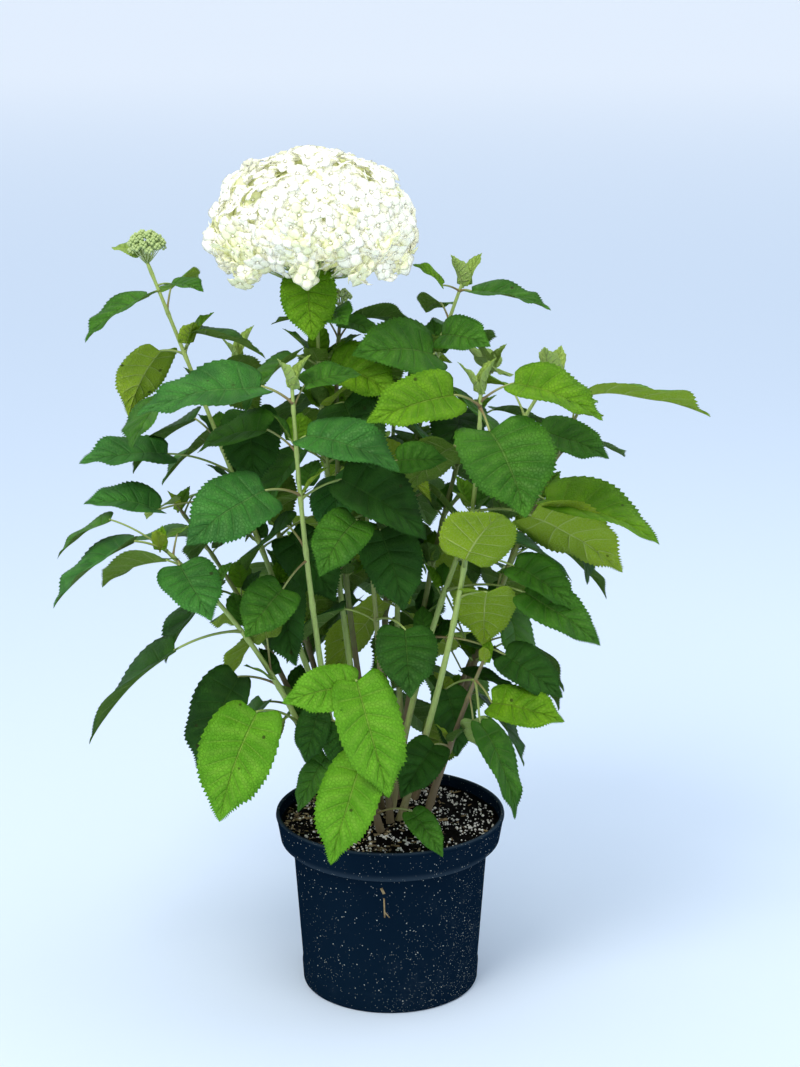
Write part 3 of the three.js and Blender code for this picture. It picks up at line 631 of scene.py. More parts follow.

# %% Leaves placed one by one
# height of the node, heading, rise and length of the stalk, heading, fall and length of the blade,
# lean of its face to the sunny side, width of the blade over its length, tint
# The lime tint is given to leaves in full sun, a painted light, and the deep tint to leaves in shade, a
# painted shade.
CHOSEN_LEAVES = {
    "bloom": [(862, -105, 30, 35, -80, 60, 82, 25, 0.77, "fresh")],
    "small_bud": [
        (800, -80, 40, 30, -25, 15, 50, 20, 0.7, "mid"),
        (735, -98, 40, 62, -30, 20, 95, 40, 0.7, "fresh"),
    ],
    "left_bud": [
        (856, -125, -10, 18, -150, 30, 95, 0, 0.55, "mid"),
        (862, -30, 10, 20, -35, 5, 50, 10, 0.66, "mid"),
        (782, 165, 5, 30, 140, 55, 105, -30, 0.56, "fresh"),
        (782, -10, 65, 28, 5, 20, 90, 0, 0.62, "mid"),
        (640, -165, 20, 80, -155, 0, 110, 20, 0.62, "cool"),
        (600, -150, 5, 110, -165, -8, 90, 20, 0.64, "cool"),
        (690, -35, 30, 60, -80, 55, 95, 30, 0.7, "deep_shaded"),
    ],
    "low_left": [
        (560, 170, 30, 90, 180, 35, 80, 0, 0.56, "mid"),
        (572, -170, 20, 40, -160, 35, 120, -5, 0.56, "cool"),
        (540, -140, 35, 45, 150, 25, 105, -20, 0.56, "mid"),
        (560, -80, 5, 28, -60, 28, 95, 30, 0.7, "cool"),
        (470, -165, -12, 80, -165, 45, 150, -5, 0.52, "deep_shaded"),
        (415, -100, 72, 50, 130, -60, 65, -60, 0.7, "mid"),
        (400, 160, 5, 50, -160, 65, 125, 20, 0.58, "deep_shaded"),
        (350, -120, 25, 95, -130, 60, 135, 35, 0.62, "lime_sunlit"),
    ],
    "front_left": [
        (748, -175, 30, 40, -165, 10, 145, 22, 0.6, "cool"),
        (700, -50, 35, 22, -20, 15, 118, 30, 0.55, "cool"),
        (640, -140, 15, 50, -145, 25, 115, 50, 0.68, "cool"),
        (560, -135, -35, 45, -135, 38, 75, 60, 0.76, "mid"),
    ],
    "right_top": [
        (850, -150, 20, 25, -165, -35, 45, 20, 0.56, "fresh"),
        (850, -40, 5, 18, -20, 10, 100, 10, 0.5, "mid"),
        (800, -100, 5, 30, -35, 5, 70, 50, 0.76, "mid"),
        (770, -95, 15, 55, -150, -5, 110, 45, 0.7, "mid"),
    ],
    "right_front": [
        (742, -145, 25, 40, -150, 10, 115, 50, 0.58, "fresh"),
        (740, -75, -28, 40, -65, 42, 120, 35, 0.84, "mid"),
        (748, 5, 28, 42, -15, 20, 110, 25, 0.6, "fresh"),
        (548, -90, 30, 36, -52, -46, 95, -75, 0.84, "lime_sunlit"),
        (510, -25, 18, 37, 90, 57, 100, -50, 0.72, "lime_sunlit"),
    ],
    "right": [
        (745, 20, -5, 60, 20, 13, 168, -15, 0.46, "fresh"),
        (700, -35, 5, 30, -25, 15, 90, 30, 0.68, "mid"),
        (640, -5, -20, 67, -12, 18, 145, 12, 0.6, "fresh"),
        (600, -35, 5, 75, 20, 33, 145, -50, 0.6, "fresh"),
        (540, -40, 5, 84, -25, 30, 90, 25, 0.62, "mid"),
        (500, -40, 10, 118, -20, 30, 110, 35, 0.54, "mid"),
        (440, -25, -5, 96, -25, 30, 88, 35, 0.6, "deep_shaded"),
    ],
    "back_right": [
        (500, -50, -50, 100, -15, 35, 80, 0, 0.5, "deep_shaded"),
        (450, -35, -50, 90, -15, 20, 80, 0, 0.5, "deep_shaded"),
    ],
    "low_right": [
        (400, -60, -25, 40, -15, 10, 90, 40, 0.6, "fresh"),
        (380, -80, -45, 32, 60, 60, 60, -40, 0.6, "young"),
        (400, -78, -62, 50, -34, 65, 125, 10, 0.36, "mid"),
        (400, 125, -25, 65, -50, 75, 85, 15, 0.62, "deep_shaded"),
    ],
    "low_front": [
        (370, -80, 55, 70, -155, 5, 95, 60, 0.58, "lime_sunlit"),
        (365, -85, 55, 85, -50, 65, 140, 35, 0.54, "lime_sunlit"),
        (300, -90, 30, 85, -120, 55, 130, 30, 0.54, "lime_sunlit"),
        (235, -50, 20, 70, -50, 35, 70, 40, 0.46, "mid"),
        (335, 163, 37, 62, -143, 72, 64, 35, 0.62, "deep_shaded"),
        (325, 169, 53, 45, -56, 76, 61, 35, 0.66, "deep_shaded"),
        (275, -173, 39, 64, -175, 63, 78, 30, 0.42, "mid"),
    ],
    "centre": [
        (470, -70, 10, 100, -85, 40, 92, 30, 0.74, "deep_shaded"),
        (560, -100, 35, 95, -125, 35, 88, 45, 0.66, "mid"),
        (545, -65, 60, 50, -55, 60, 100, 25, 0.7, "deep_shaded"),
        (635, -35, 40, 60, -20, -5, 62, 50, 0.62, "mid"),
    ],
}
print("leaves placed one by one:", sum(len(rows) for rows in CHOSEN_LEAVES.values()))

# %% Bows, headings and the dice
UP = np.array([0.0, 0.0, 1.0])
SUNNY = np.array([0.0, -1.0, 0.0])
WORD = 0xFFFFFFFF


def unit(vector):
    return vector / np.linalg.norm(vector)


def heading(angle, rise=0.0):
    level = math.cos(math.radians(rise))
    return np.array([level * math.cos(math.radians(angle)), level * math.sin(math.radians(angle)),
                     math.sin(math.radians(rise))])


def blend(first, second, share):
    return first + (second - first) * share


def smooth(value, low, high):
    share = min(1.0, max(0.0, (value - low) / (high - low)))
    return share * share * (3 - 2 * share)


def dice(*keys):
    """A repeatable number from 0 to 1 for a set of whole numbers."""
    value = SEED
    for key in keys:
        value = ((value ^ ((key + 0x9E3779B9) & WORD)) * 0x85EBCA6B) & WORD
        value ^= value >> 13
    value = (value * 0xC2B2AE35) & WORD
    value ^= value >> 16
    return value / 4294967296


class Bow:
    """A curve bent one way, from its start through a point halfway to its end."""

    def __init__(self, start, halfway, end):
        self.start, self.end = np.array(start, float), np.array(end, float)
        self.pull = 2 * np.array(halfway, float) - (self.start + self.end) / 2

    def at(self, share):
        share = np.asarray(share, float)[..., None]
        rest = 1 - share
        return rest * rest * self.start + 2 * rest * share * self.pull + share * share * self.end

    def along(self, share):
        return unit(self.at(min(1, share + 0.0001)) - self.at(max(0, share - 0.0001)))

    def length(self):
        steps = self.at(np.linspace(0, 1, 201))
        return float(np.linalg.norm(np.diff(steps, axis=0), axis=1).sum())

    def share_at_height(self, height):
        low, high = 0.0, 1.0
        for _ in range(30):
            middle = (low + high) / 2
            if self.at(middle)[2] < height:
                low = middle
            else:
                high = middle
        return low


print("a throw of the dice:", round(dice(1, 2, 3), 6))


# %% One leaf in space
def make_leaf(node, stalk_heading, stalk_rise, stalk, blade_heading, fall, length, width_share, facing):
    """A stalk from a node of the cane to the blade's base, and a blade that arcs over its chord."""
    base = node + heading(stalk_heading, stalk_rise) * stalk
    chord = heading(blade_heading, -fall)
    face = unit(facing - chord * facing.dot(chord))
    arch = (node + base) / 2 + UP * STALK_ARCH * stalk
    return SimpleNamespace(node=node, base=base, chord=chord, face=face, length=length,
                           width=width_share * length, stalk=Bow(node, arch, base), curl=CURL)


def half_width(width, share):
    widest = ROOT_POWER / (ROOT_POWER + TIP_POWER)
    peak = widest ** ROOT_POWER * (1 - widest) ** TIP_POWER
    return 0.5 * width * share ** ROOT_POWER * (1 - share) ** TIP_POWER / peak


def on_blade(leaf, share, sideways, lift):
    """Points of the blade: share runs along the midrib, sideways and lift are lengths off it."""
    half = math.radians(leaf.curl) / 2
    along = leaf.chord * math.cos(half) + leaf.face * math.sin(half)
    face = leaf.face * math.cos(half) - leaf.chord * math.sin(half)
    turn = math.radians(leaf.curl) * share
    radius = leaf.length / math.radians(leaf.curl)
    return (leaf.base + np.outer((radius + lift) * np.sin(turn), along)
            + np.outer(radius * (np.cos(turn) - 1) + lift * np.cos(turn), face)
            + np.outer(sideways, np.cross(face, along)))


def leaf_points(leaf):
    rows = math.ceil(leaf.length / SAMPLE)
    columns = math.ceil(leaf.width / SAMPLE)
    share = np.repeat(np.arange(rows + 1) / rows, columns + 1)
    across = np.tile(2 * np.arange(columns + 1) / columns - 1, rows + 1)
    width = half_width(leaf.width, share)
    blade = on_blade(leaf, share, across * width, np.abs(across) * width * FOLD)
    steps = math.ceil(np.linalg.norm(leaf.node - leaf.base) / SAMPLE)
    return np.concatenate([blade, leaf.stalk.at(np.arange(1, steps + 1) / steps)])


print("half width of a blade 70 mm wide:", round(half_width(70, 0.3), 1), "mm")


# %% Keep the leafy tops apart
class Taken:
    """Every point placed so far, with the number of the cane that owns it."""

    def __init__(self):
        self.points = np.empty((0, 3))
        self.owners = np.empty(0, int)

    def add(self, owner, points):
        self.points = np.concatenate([self.points, points])
        self.owners = np.concatenate([self.owners, np.full(len(points), owner)])

    def is_free(self, owner, points):
        low, high = points.min(0) - NEAREST, points.max(0) + NEAREST
        near = (self.owners != owner) & (self.points >= low).all(1) & (self.points <= high).all(1)
        others = self.points[near]
        if not len(others):
            return True
        return bool((((points[:, None] - others[None]) ** 2).sum(2) > NEAREST * NEAREST).all())


def in_solid_parts(points):
    """True for points in the pot, in the compost or in the bloom."""
    far = np.hypot(points[:, 0], points[:, 1])
    near_pot = (points[:, 2] < POT_HEIGHT / MM + NEAREST) & (far < RIM_RADIUS / MM + NEAREST)
    pot_free = (points[:, 2] > SOIL + NEAREST) & (far < BAND_RADIUS / MM - NEAREST)
    x, y, above = (points - BLOOM_CENTRE).T
    level = np.hypot(x, y) / (BLOOM_RADIUS + NEAREST)
    tall = above / np.where(above > 0, BLOOM_RISE + NEAREST, BLOOM_DROOP + BUNCH_ROOM)
    return (near_pot & ~pot_free) | (np.hypot(level, tall) < 1)


print("room kept between tops:", NEAREST, "mm")

# %% Grow every leaf
paths = {}
for name, (foot, halfway, tip, *_) in CANES.items():
    paths[name] = Bow((foot[0], foot[1], SOIL + CLEARANCE), halfway, tip)
taken = Taken()
leaves = []

for owner, path in enumerate(paths.values()):
    steps = max(2, math.ceil(path.length() / SAMPLE))
    taken.add(owner, path.at(np.arange(steps + 1) / steps))
    taken.add(owner, path.at(1.0) + np.outer([0.3, 0.8], path.along(1.0)) * TIP_BUD)

for owner, (name, path) in enumerate(paths.items()):
    for row in CHOSEN_LEAVES.get(name, []):
        height, stalk_heading, stalk_rise, stalk, blade_heading, fall, length, lean, width_share, tint = row
        node = path.at(path.share_at_height(height))
        facing = UP * math.cos(math.radians(lean)) + SUNNY * math.sin(math.radians(lean))
        leaf = make_leaf(node, stalk_heading, stalk_rise, stalk, blade_heading, fall, length,
                         width_share, facing)
        leaf.owner, leaf.height, leaf.tint, leaf.young = name, height, tint, 0.0
        leaves.append(leaf)
        taken.add(owner, leaf_points(leaf))


def apart(first, second):
    return abs((first - second + 540) % 360 - 180)


def has_chosen(name, height, angle):
    rows = CHOSEN_LEAVES.get(name, [])
    return any(abs(row[0] - height) < 32 and apart(row[1], angle) < 75 for row in rows)


def grow_by_rule(name, owner, node_index, height, side):
    """The first of the tries that is clear of everything else, or None."""
    _, _, tip, leaf_from, turn, middle_length, open_front = CANES[name]
    chance = [dice(owner, node_index, side, key) for key in range(6)]
    grown = (height - leaf_from) / (tip[2] - leaf_from)
    angle = turn + 90 * node_index + 180 * side + 40 * (chance[1] - 0.5)
    if (open_front and apart(angle, -90) < OPEN_FRONT) or has_chosen(name, height, angle):
        return None
    node = paths[name].at(paths[name].share_at_height(height))
    young = smooth(grown, 0.6, 1.05)
    length = middle_length * blend(1, 0.45, young) * (0.88 + 0.24 * chance[2])
    rise = 32 + 24 * (chance[3] - 0.5) + 25 * young
    fall = 24 + 24 * (1 - grown) + 24 * (chance[4] - 0.5) - 30 * young
    facing = UP + unit(node * (1, 1, 0) + heading(angle) * 60) * 0.6
    for lift in LIFTS:
        for swing in SWINGS:
            leaf = make_leaf(node, angle + swing, rise + lift, STALK_SHARE * length,
                             angle + swing + 30 * (chance[5] - 0.5), fall, length, WIDTH_SHARE, facing)
            points = leaf_points(leaf)
            if not in_solid_parts(points).any() and taken.is_free(owner, points):
                leaf.owner, leaf.height, leaf.tint, leaf.young = name, height, None, young
                taken.add(owner, points)
                return leaf
    return None


nodes_of = {name: [] for name in CANES}
for owner, (name, cane) in enumerate(CANES.items()):
    leaf_from, tip_height = cane[3], cane[2][2]
    height, node_index = leaf_from, 0
    while height < tip_height - 8:
        nodes_of[name].append(height)
        for side in (0, 1):
            grown_leaf = grow_by_rule(name, owner, node_index, height, side)
            if grown_leaf is not None:
                leaves.append(grown_leaf)
        height += blend(*NODE_STEPS, (height - leaf_from) / (tip_height - leaf_from))
        node_index += 1

worst = 0.0
for name in CANES:
    reach = np.concatenate([leaf_points(leaf) for leaf in leaves if leaf.owner == name]) * MM
    low, high = (np.array(corner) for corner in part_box(f"leaves_{name}"))
    worst = max(worst, (low - reach.min(0)).max(), (reach.max(0) - high).max())
print("leaves grown:", len(leaves), "furthest outside their solids:", round(worst / MM, 2), "mm")

# %% [markdown]
# ## Canes
# A hydrangea cane is round and straight, faintly ridged, swollen where a pair of leaves sits, pale green
# where the sun reaches it and brown and corky at the foot. A curve with a round bevel would give the tube
# but not the ridges and swellings. So one straight stem is made by extruding a disc ring by ring, and its
# copies are bent along each cane's bow, with a radius that depends on the height and on the side.


# %% Straight stem, and laying it along a bow
def straight_stem(sides, rings):
    """A closed stem of unit radius and length, extruded from a disc."""
    clear_selection()
    bpy.ops.mesh.primitive_circle_add(vertices=sides, radius=1, fill_type="NGON")
    edit_all()
    for _ in range(rings):
        bpy.ops.mesh.extrude_region_move(TRANSFORM_OT_translate={"value": (0, 0, 1 / rings)})
    bpy.ops.mesh.select_all(action="SELECT")
    bpy.ops.mesh.normals_make_consistent(inside=False)
    edit_done()
    pattern = read_pattern(bpy.context.object)
    pattern.chart[:, 0] = pattern.points[pattern.corners, 2]
    return pattern


def lay_stem(pattern, bow, low, high, radius_at):
    """Bends a straight stem along part of a bow. The radius is a function of share and angle."""
    share = blend(low, high, pattern.points[:, 2])
    along = (1 - share)[:, None] * (bow.pull - bow.start) + share[:, None] * (bow.end - bow.pull)
    along /= np.linalg.norm(along, axis=1)[:, None]
    hint = np.eye(3)[np.argmin(np.abs(unit(bow.end - bow.start)))]
    side = hint - along * (along @ hint)[:, None]
    side /= np.linalg.norm(side, axis=1)[:, None]
    other = np.cross(along, side)
    radius = radius_at(share, np.arctan2(pattern.points[:, 1], pattern.points[:, 0]))
    x, y = pattern.points[:, 0] * radius, pattern.points[:, 1] * radius
    return (bow.at(share) + side * x[:, None] + other * y[:, None]) * MM


CANE_SIDES, CANE_RINGS = 12, 110
cane_pattern = straight_stem(CANE_SIDES, CANE_RINGS)
print("cane pattern:", len(cane_pattern.points), "points")

# %% Lay the canes
# The canes on the sunny side, which get the paler sunlit finish, a painted light.
SUNLIT_CANES = ["front_left", "right", "right_front", "low_left", "left_bud", "bloom", "right_top"]
HEADED = ("bloom", "left_bud", "small_bud")  # canes that end in a head
CANE_SUNK = 9  # millimetres of each cane below the compost
SWELLING = 0.75  # millimetres added to the radius at a pair of leaves
SWELLING_REACH = 5  # and how far along the cane that goes
RIDGE = 0.035  # this and the flare of the foot are shares of the radius
FLARE = 0.22
FLARE_LENGTH = 45


def cane_radius(name):
    """The radius of a cane: tapering, six faint ridges, and a swelling at every pair of leaves."""
    path = paths[name]
    swellings = [path.share_at_height(height) for height in nodes_of[name]]
    span = path.length()
    phase = dice(len(name), 5) * 6

    def radius(share, angle):
        size = blend(CANE_FOOT, CANE_TIP, np.clip(share, 0, 1)) * (1 + RIDGE * np.cos(6 * angle + phase))
        for swelling in swellings:
            size = size + SWELLING * np.exp(-(((share - swelling) * span + 1.5) / SWELLING_REACH) ** 2)
        foot = np.clip(1 - share * span / FLARE_LENGTH, 0, 1)
        return size * (1 + FLARE * foot ** 2 + 0.05 * foot * np.sin(3 * angle + phase))

    return radius


def cane_finish(name, young_colour, old_colour, old_below):
    finish, place = start_finish(name)
    height_in = place.part("Z")
    cloud = grain(place, 0.012, 4)
    streak = place.node("ShaderNodeMapping", {}, {0: place, "Scale": (1, 1, 0.08)})
    fibre = grain(streak, 0.0016, 3)
    woody = (height_in + (cloud - 0.5) * 0.22).step(old_below + 0.1, old_below - 0.03)
    colour = woody.mix(paint(young_colour), paint(old_colour))
    colour = (fibre.step(0.45, 0.75) * 0.35).mix(colour, paint("#6d6a3c"))
    corky = grain(place, 0.0022, 2).step(0.66, 0.72)
    colour = (corky * 0.5).mix(colour, paint("#584631"))
    return finish_surface(finish, place, colour, 0.52 + woody * 0.3, fibre + corky * 0.6, 0.0004, gloss=0.4)


# Painted light and painted shade: one bark in two copies, paler for the canes on the sunny side and darker
# for the rest.
cane_finishes = {
    "canes_sunlit": cane_finish("cane_sunlit", "#9fb562", "#a09a6c", 0.27),
    "canes_shaded": cane_finish("cane_shaded", "#7c8a48", "#7b6c52", 0.40),
}
for piece_name, finish in cane_finishes.items():
    chosen = [name for name in CANES if (name in SUNLIT_CANES) == (piece_name == "canes_sunlit")]
    placed = []
    for name in chosen:
        low = -CANE_SUNK / paths[name].length()
        placed.append(lay_stem(cane_pattern, paths[name], low, 1.0, cane_radius(name)))
    piece = join_copies(piece_name, cane_pattern, placed, [finish])
    keep(piece, [f"cane_{name}" for name in chosen])

# %% [markdown]
# ## The leaf pattern
# A hydrangea leaf is broad and heart-shaped at the base, drawn out to a long point, and finely toothed.
# Its side veins run forward to the margin, and the blade is puckered between them. A flat card with a
# picture could show all that, but only from the front. Here a grid is modelled whose rows follow the
# side veins, so veins, puckers and teeth are real relief, and Solidify gives it an underside of its own.


# %% Leaf pattern
VEINS = 7
TOOTH = 0.029  # these three are shares of the blade's length
PUCKER = 0.011
BLADE_THICK = 0.0024


def leaf_pattern(rows, columns, veins):
    """A blade in shares of its length: along, across, lift, and reach from the midrib to the margin."""
    clear_selection()
    bpy.ops.mesh.primitive_grid_add(x_subdivisions=rows, y_subdivisions=columns, size=1)
    blade = bpy.context.object
    solidify = blade.modifiers.new("blade", "SOLIDIFY")
    solidify.thickness = 1
    solidify.offset = 0
    bpy.ops.object.modifier_apply(modifier=solidify.name)
    pattern = read_pattern(blade)
    row = pattern.points[:, 0] + 0.5
    reach = np.abs(pattern.points[:, 1] * 2) ** 1.4
    sign = np.sign(pattern.points[:, 1])
    skin = pattern.points[:, 2] * 2
    forward = row + 0.2 * np.sin(np.pi * row) - 0.12 * (row / 0.07) * np.exp(1 - row / 0.07)
    bulk = np.clip(row + 0.19 * np.sin(np.pi * row), 0.002, 0.998)
    shoulder = np.sqrt(bulk) * (1 - bulk) ** 0.86
    drawn_out = 1 - 0.62 * np.clip((bulk - 0.72) / 0.28, 0, 1) ** 0.8
    margin = 0.5 * shoulder / shoulder.max() * drawn_out + 0.002
    row_number = np.round(row * rows).astype(int)
    uneven = 0.85 + 0.3 * np.sin(row_number * 12.9 + sign) ** 2
    at_margin = (reach > 0.99) * (row_number % 2 == 1)
    at_margin = at_margin * np.clip((1 - row) * 8, 0, 1) * np.clip(row * 12, 0, 1)
    tooth = TOOTH * uneven * at_margin
    pattern.row, pattern.reach, pattern.sign, pattern.breadth = row, reach, sign, 2 * margin
    pattern.along = blend(row, forward, reach ** 1.15) + tooth * 0.6
    pattern.across = sign * (reach * margin + tooth)
    swell = 0.5 - 0.5 * np.cos(2 * np.pi * veins * row)
    soften = np.clip(reach * 5, 0, 1) * (1 - reach ** 3)
    soften = soften * np.clip((1 - row) * 3, 0, 1) * np.clip(row * 9, 0, 1)
    groove = np.exp(-((reach / 0.1) ** 2)) * np.clip((1 - row) * 4, 0.15, 1)
    pattern.lift = PUCKER * swell * soften - 0.008 * groove
    thick = BLADE_THICK * (1 - 0.75 * reach) * np.clip((1 - row) * 8, 0.3, 1)
    pattern.lift += skin * thick - 0.007 * groove * (skin < 0)
    pattern.chart = np.stack([row, pattern.points[:, 1] + 0.5], 1)[pattern.corners]
    starts = np.cumsum(pattern.sizes) - pattern.sizes
    pattern.kinds = (np.add.reduceat(skin[pattern.corners], starts) / pattern.sizes < -0.5).astype(int)
    return pattern


broad_leaf = leaf_pattern(60, 10, VEINS)
small_leaf = leaf_pattern(14, 4, 5)
print("faces of a broad leaf:", len(broad_leaf.sizes), "and of a small one:", len(small_leaf.sizes))


# %% Place a blade
RIPPLE = 0.026  # these five say how much a blade departs from the pattern
HOLLOW = 0.012
TIP_DROOP = 0.35
TWIST = 0.34
SIDE_BEND = 0.2


def place_blade(pattern, leaf, key, fold=FOLD):
    """The pattern bent over its own chord, with a fold, a wavy margin and a bend that are its own."""
    chance = [dice(key, n) for n in range(9)]
    phase = 2 * np.pi * (chance[0] + 0.37 * (pattern.sign > 0))
    slim = np.clip(pattern.breadth * 1.6, 0, 1)
    waves = 2 * np.pi * (1.7 + 1.3 * chance[1])
    ripple = RIPPLE * np.sin(waves * pattern.row + phase) * pattern.reach ** 2 * slim
    hollows = HOLLOW * np.sin(2 * np.pi * (1.2 + chance[7]) * pattern.row + 5 * chance[0]) * slim * np.sin(
        2.6 * pattern.sign * pattern.reach + 6 * chance[7])
    tip_droop = -TIP_DROOP * chance[8] * np.clip(pattern.along - 0.72, 0, 1) ** 2
    across = pattern.across * (leaf.width / leaf.length) * (0.95 + 0.1 * chance[2])
    own_fold = fold * (0.5 + 1.0 * chance[3])
    lift = pattern.lift + np.abs(across) * own_fold + ripple + hollows + tip_droop
    twist = TWIST * (chance[4] - 0.5) * pattern.along
    sideways = across + SIDE_BEND * (chance[5] - 0.5) * pattern.along * (1 - pattern.along)
    lift = lift + across * twist
    return on_blade(leaf, pattern.along, sideways * leaf.length, lift * leaf.length) * MM


print("a blade with its teeth is", round(float(np.ptp(broad_leaf.across)), 2), "of its width wide")

# %% [markdown]
# ## Leaf finishes
# The upper side is a clear green that the sky glosses blue, with a paler midrib and side veins in the
# grooves. The grooves beside the side veins and the net between them are painted darker, a painted shade, and
# the puckered ridges between the veins paler, a painted highlight. The underside is yellower and matt, with a
# raised net. Veins could be painted in an image, but the chart of each blade already runs along the midrib
# and across it, so a few sums draw them. Leaves in full sun are painted nearly lime, a painted light; low
# ones and those inside the crown dark, partly with age and partly a painted shade; some bluish: one finish
# for each tint, dealt by leaf.


# %% Leaf finish
LIGHT_THROUGH = 0.22


def leaf_finish(name, blade_colour, cloud_and_shade_colour, vein_and_highlight_colour, upper, through, gloss):
    finish, place = start_finish(name)
    chart = place.node("ShaderNodeUVMap", {"uv_map": "chart"})
    row = chart.part("X")
    across = chart.part("Y")
    reach = place.maths("ABSOLUTE", across - 0.5) * 2
    beside = place.maths("PINGPONG", row, 0.5 / VEINS) * (2 * VEINS)
    inside = reach.step(1.0, 0.7) * row.step(0.99, 0.8)
    side_vein = beside.step(0.11, 0.02) * inside
    groove = beside.step(0.3, 0.03) * inside
    ridge = beside.step(0.5, 1.0) * inside
    midrib = reach.step(0.08, 0.02)
    mesh_line = cells(place, 260, feature="DISTANCE_TO_EDGE").step(0.14, 0.0)
    cloud = grain(place, 0.035, 4, 0.6)
    colour = cloud.step(0.34, 0.66).mix(paint(cloud_and_shade_colour), paint(blade_colour))
    if upper:
        # Painted shade: the grooves beside the side veins and the lines of the net are darkened.
        colour = (groove * 0.44 + mesh_line * 0.26).mix(colour, paint(cloud_and_shade_colour))
        # Painted highlight: the puckered ridges between the side veins are lightened.
        colour = (ridge * 0.14).mix(colour, paint(vein_and_highlight_colour))
    side_share, midrib_share = (0.24, 0.38) if upper else (0.85, 0.9)
    vein_share = place.maths("MAXIMUM", side_vein * side_share, midrib * midrib_share)
    if not upper:
        vein_share = place.maths("MAXIMUM", vein_share, mesh_line * 0.3)
    colour = vein_share.mix(colour, paint(vein_and_highlight_colour))
    in_cell = cells(place, 70)
    spotted = cells(place, 70, "Color").part("X").step(0.93, 0.94)
    spot = (in_cell + grain(place, 0.003) * 0.1).step(0.24, 0.17) * spotted
    colour = (spot * 0.85).mix(colour, paint("#31330f"))
    way = -1 if upper else 1
    height = (side_vein * 0.4 + groove * 0.5 + midrib + mesh_line * 0.4) * way + cloud * 0.5
    rough = (0.5 if upper else 0.7) + cloud * 0.12
    return finish_surface(finish, place, colour, rough, height, 0.0015, gloss=gloss,
                          glow=(LIGHT_THROUGH, paint(through)))


TINTS = {
    # tint: blade, its darker cloud and painted groove shade, veins above and painted ridge highlight,
    # underside, veins below, light through, gloss
    # Painted shade: the deep tint is a darker copy for leaves in shade, low down and inside the crown.
    "deep_shaded": ("#33641e", "#224813", "#557c34", "#527429", "#82a04e", "#78aa2c", 0.15),
    "mid": ("#4a8320", "#326615", "#77984a", "#6e8e2c", "#a4ba62", "#8ab832", 0.2),
    "cool": ("#438830", "#2e6725", "#6f9c50", "#5d7d34", "#90a85c", "#80b038", 0.28),
    "fresh": ("#72a41c", "#558712", "#98b448", "#9cba2e", "#c6d878", "#a2cc3a", 0.14),
    # Painted light: the lime tint is a sunlit copy of the leaf green.
    "lime_sunlit": ("#72b22a", "#59981d", "#a6c456", "#8cab22", "#c4d478", "#b2dc42", 0.14),
    "young": ("#a2be5c", "#88a648", "#c4d690", "#a9c568", "#cdda9c", "#c4e060", 0.14),
}
leaf_finishes = {}
for tint, (blade, dark, vein, under, under_vein, through, gloss) in TINTS.items():
    leaf_finishes[tint] = [
        leaf_finish(f"leaf_{tint}_upper", blade, dark, vein, True, through, gloss),
        leaf_finish(f"leaf_{tint}_under", under, under, under_vein, False, through, 0.15),
    ]
print("leaf tints:", ", ".join(TINTS))

# %% [markdown]
# ## Dealing the tints
# The eye knows a shrub by its range of greens: dark inside and low down, bluish and mid green over the crown,
# fresh green at the tips. The dark there is partly age and partly a painted shade. The leaves placed one by
# one name their tint. The rest are dealt one by their age, their height on the cane and the dice.


# %% Deal the tints and build the leaves
def dealt_tint(leaf, key):
    if leaf.tint:
        return leaf.tint
    throw = dice(key, 31)
    if leaf.young > 0.75:
        return "fresh" if throw < 0.6 else "young"
    # Low leaves get the dark tint more often: partly their age, partly a painted shade low in the crown.
    low = smooth(620 - leaf.height, 0, 260)
    if throw < 0.22 + 0.4 * low:
        return "deep_shaded"
    if throw < 0.62 + 0.22 * low:
        return "mid"
    return "cool" if throw < 0.86 else "fresh"


for key, leaf in enumerate(leaves):
    leaf.key = 500 + key
    leaf.tint = dealt_tint(leaf, leaf.key)

for tint in TINTS:
    dealt = [leaf for leaf in leaves if leaf.tint == tint]
    placed = [place_blade(broad_leaf, leaf, leaf.key) for leaf in dealt]
    piece = join_copies(f"leaves_{tint}", broad_leaf, placed, leaf_finishes[tint])
    keep(piece, sorted({f"leaves_{leaf.owner}" for leaf in dealt}))

# %% [markdown]
# ## Leaf stalks
# Each stalk is a thin gutter that clasps the cane, arches and runs into the midrib. In sun it is reddish
# brown, in shade grey-green. It is the straight stem again, laid along the leaf's own bow, thick where
# it leaves the cane.

# %% Leaf stalks
stalk_pattern = straight_stem(7, 10)


def stalk_radius(leaf):
    size = 0.75 + 0.45 * leaf.length / 110

    def radius(share, angle):
        clasp = np.exp(-((share / 0.09) ** 2))
        gutter = 1 - 0.22 * np.exp(-((angle - math.pi / 2) ** 2))
        return size * (1.35 + 1.0 * clasp - 0.25 * share) * gutter

    return radius


def stalk_finish(name, low_colour, high_colour):
    finish, place = start_finish(name)
    chart = place.node("ShaderNodeUVMap", {"uv_map": "chart"})
    along = (chart.part("X") + grain(place, 0.01) * 0.4).step(0.2, 1.1)
    colour = along.mix(paint(low_colour), paint(high_colour))
    return finish_surface(finish, place, colour, 0.55, grain(place, 0.002), 0.0002, gloss=0.4)


stalk_finishes = {
    "leaf_stalks_red": stalk_finish("stalk_reddish", "#7d6a45", "#8f9a58"),
    "leaf_stalks_green": stalk_finish("stalk_green", "#7f9049", "#93a85a"),
}
for piece_name, finish in stalk_finishes.items():
    red = piece_name.endswith("red")
    dealt = [leaf for leaf in leaves if (dice(leaf.key, 8) < 0.4) == red]
    placed = [lay_stem(stalk_pattern, leaf.stalk, 0.0, 1.02, stalk_radius(leaf)) for leaf in dealt]
    keep(join_copies(piece_name, stalk_pattern, placed, [finish]))

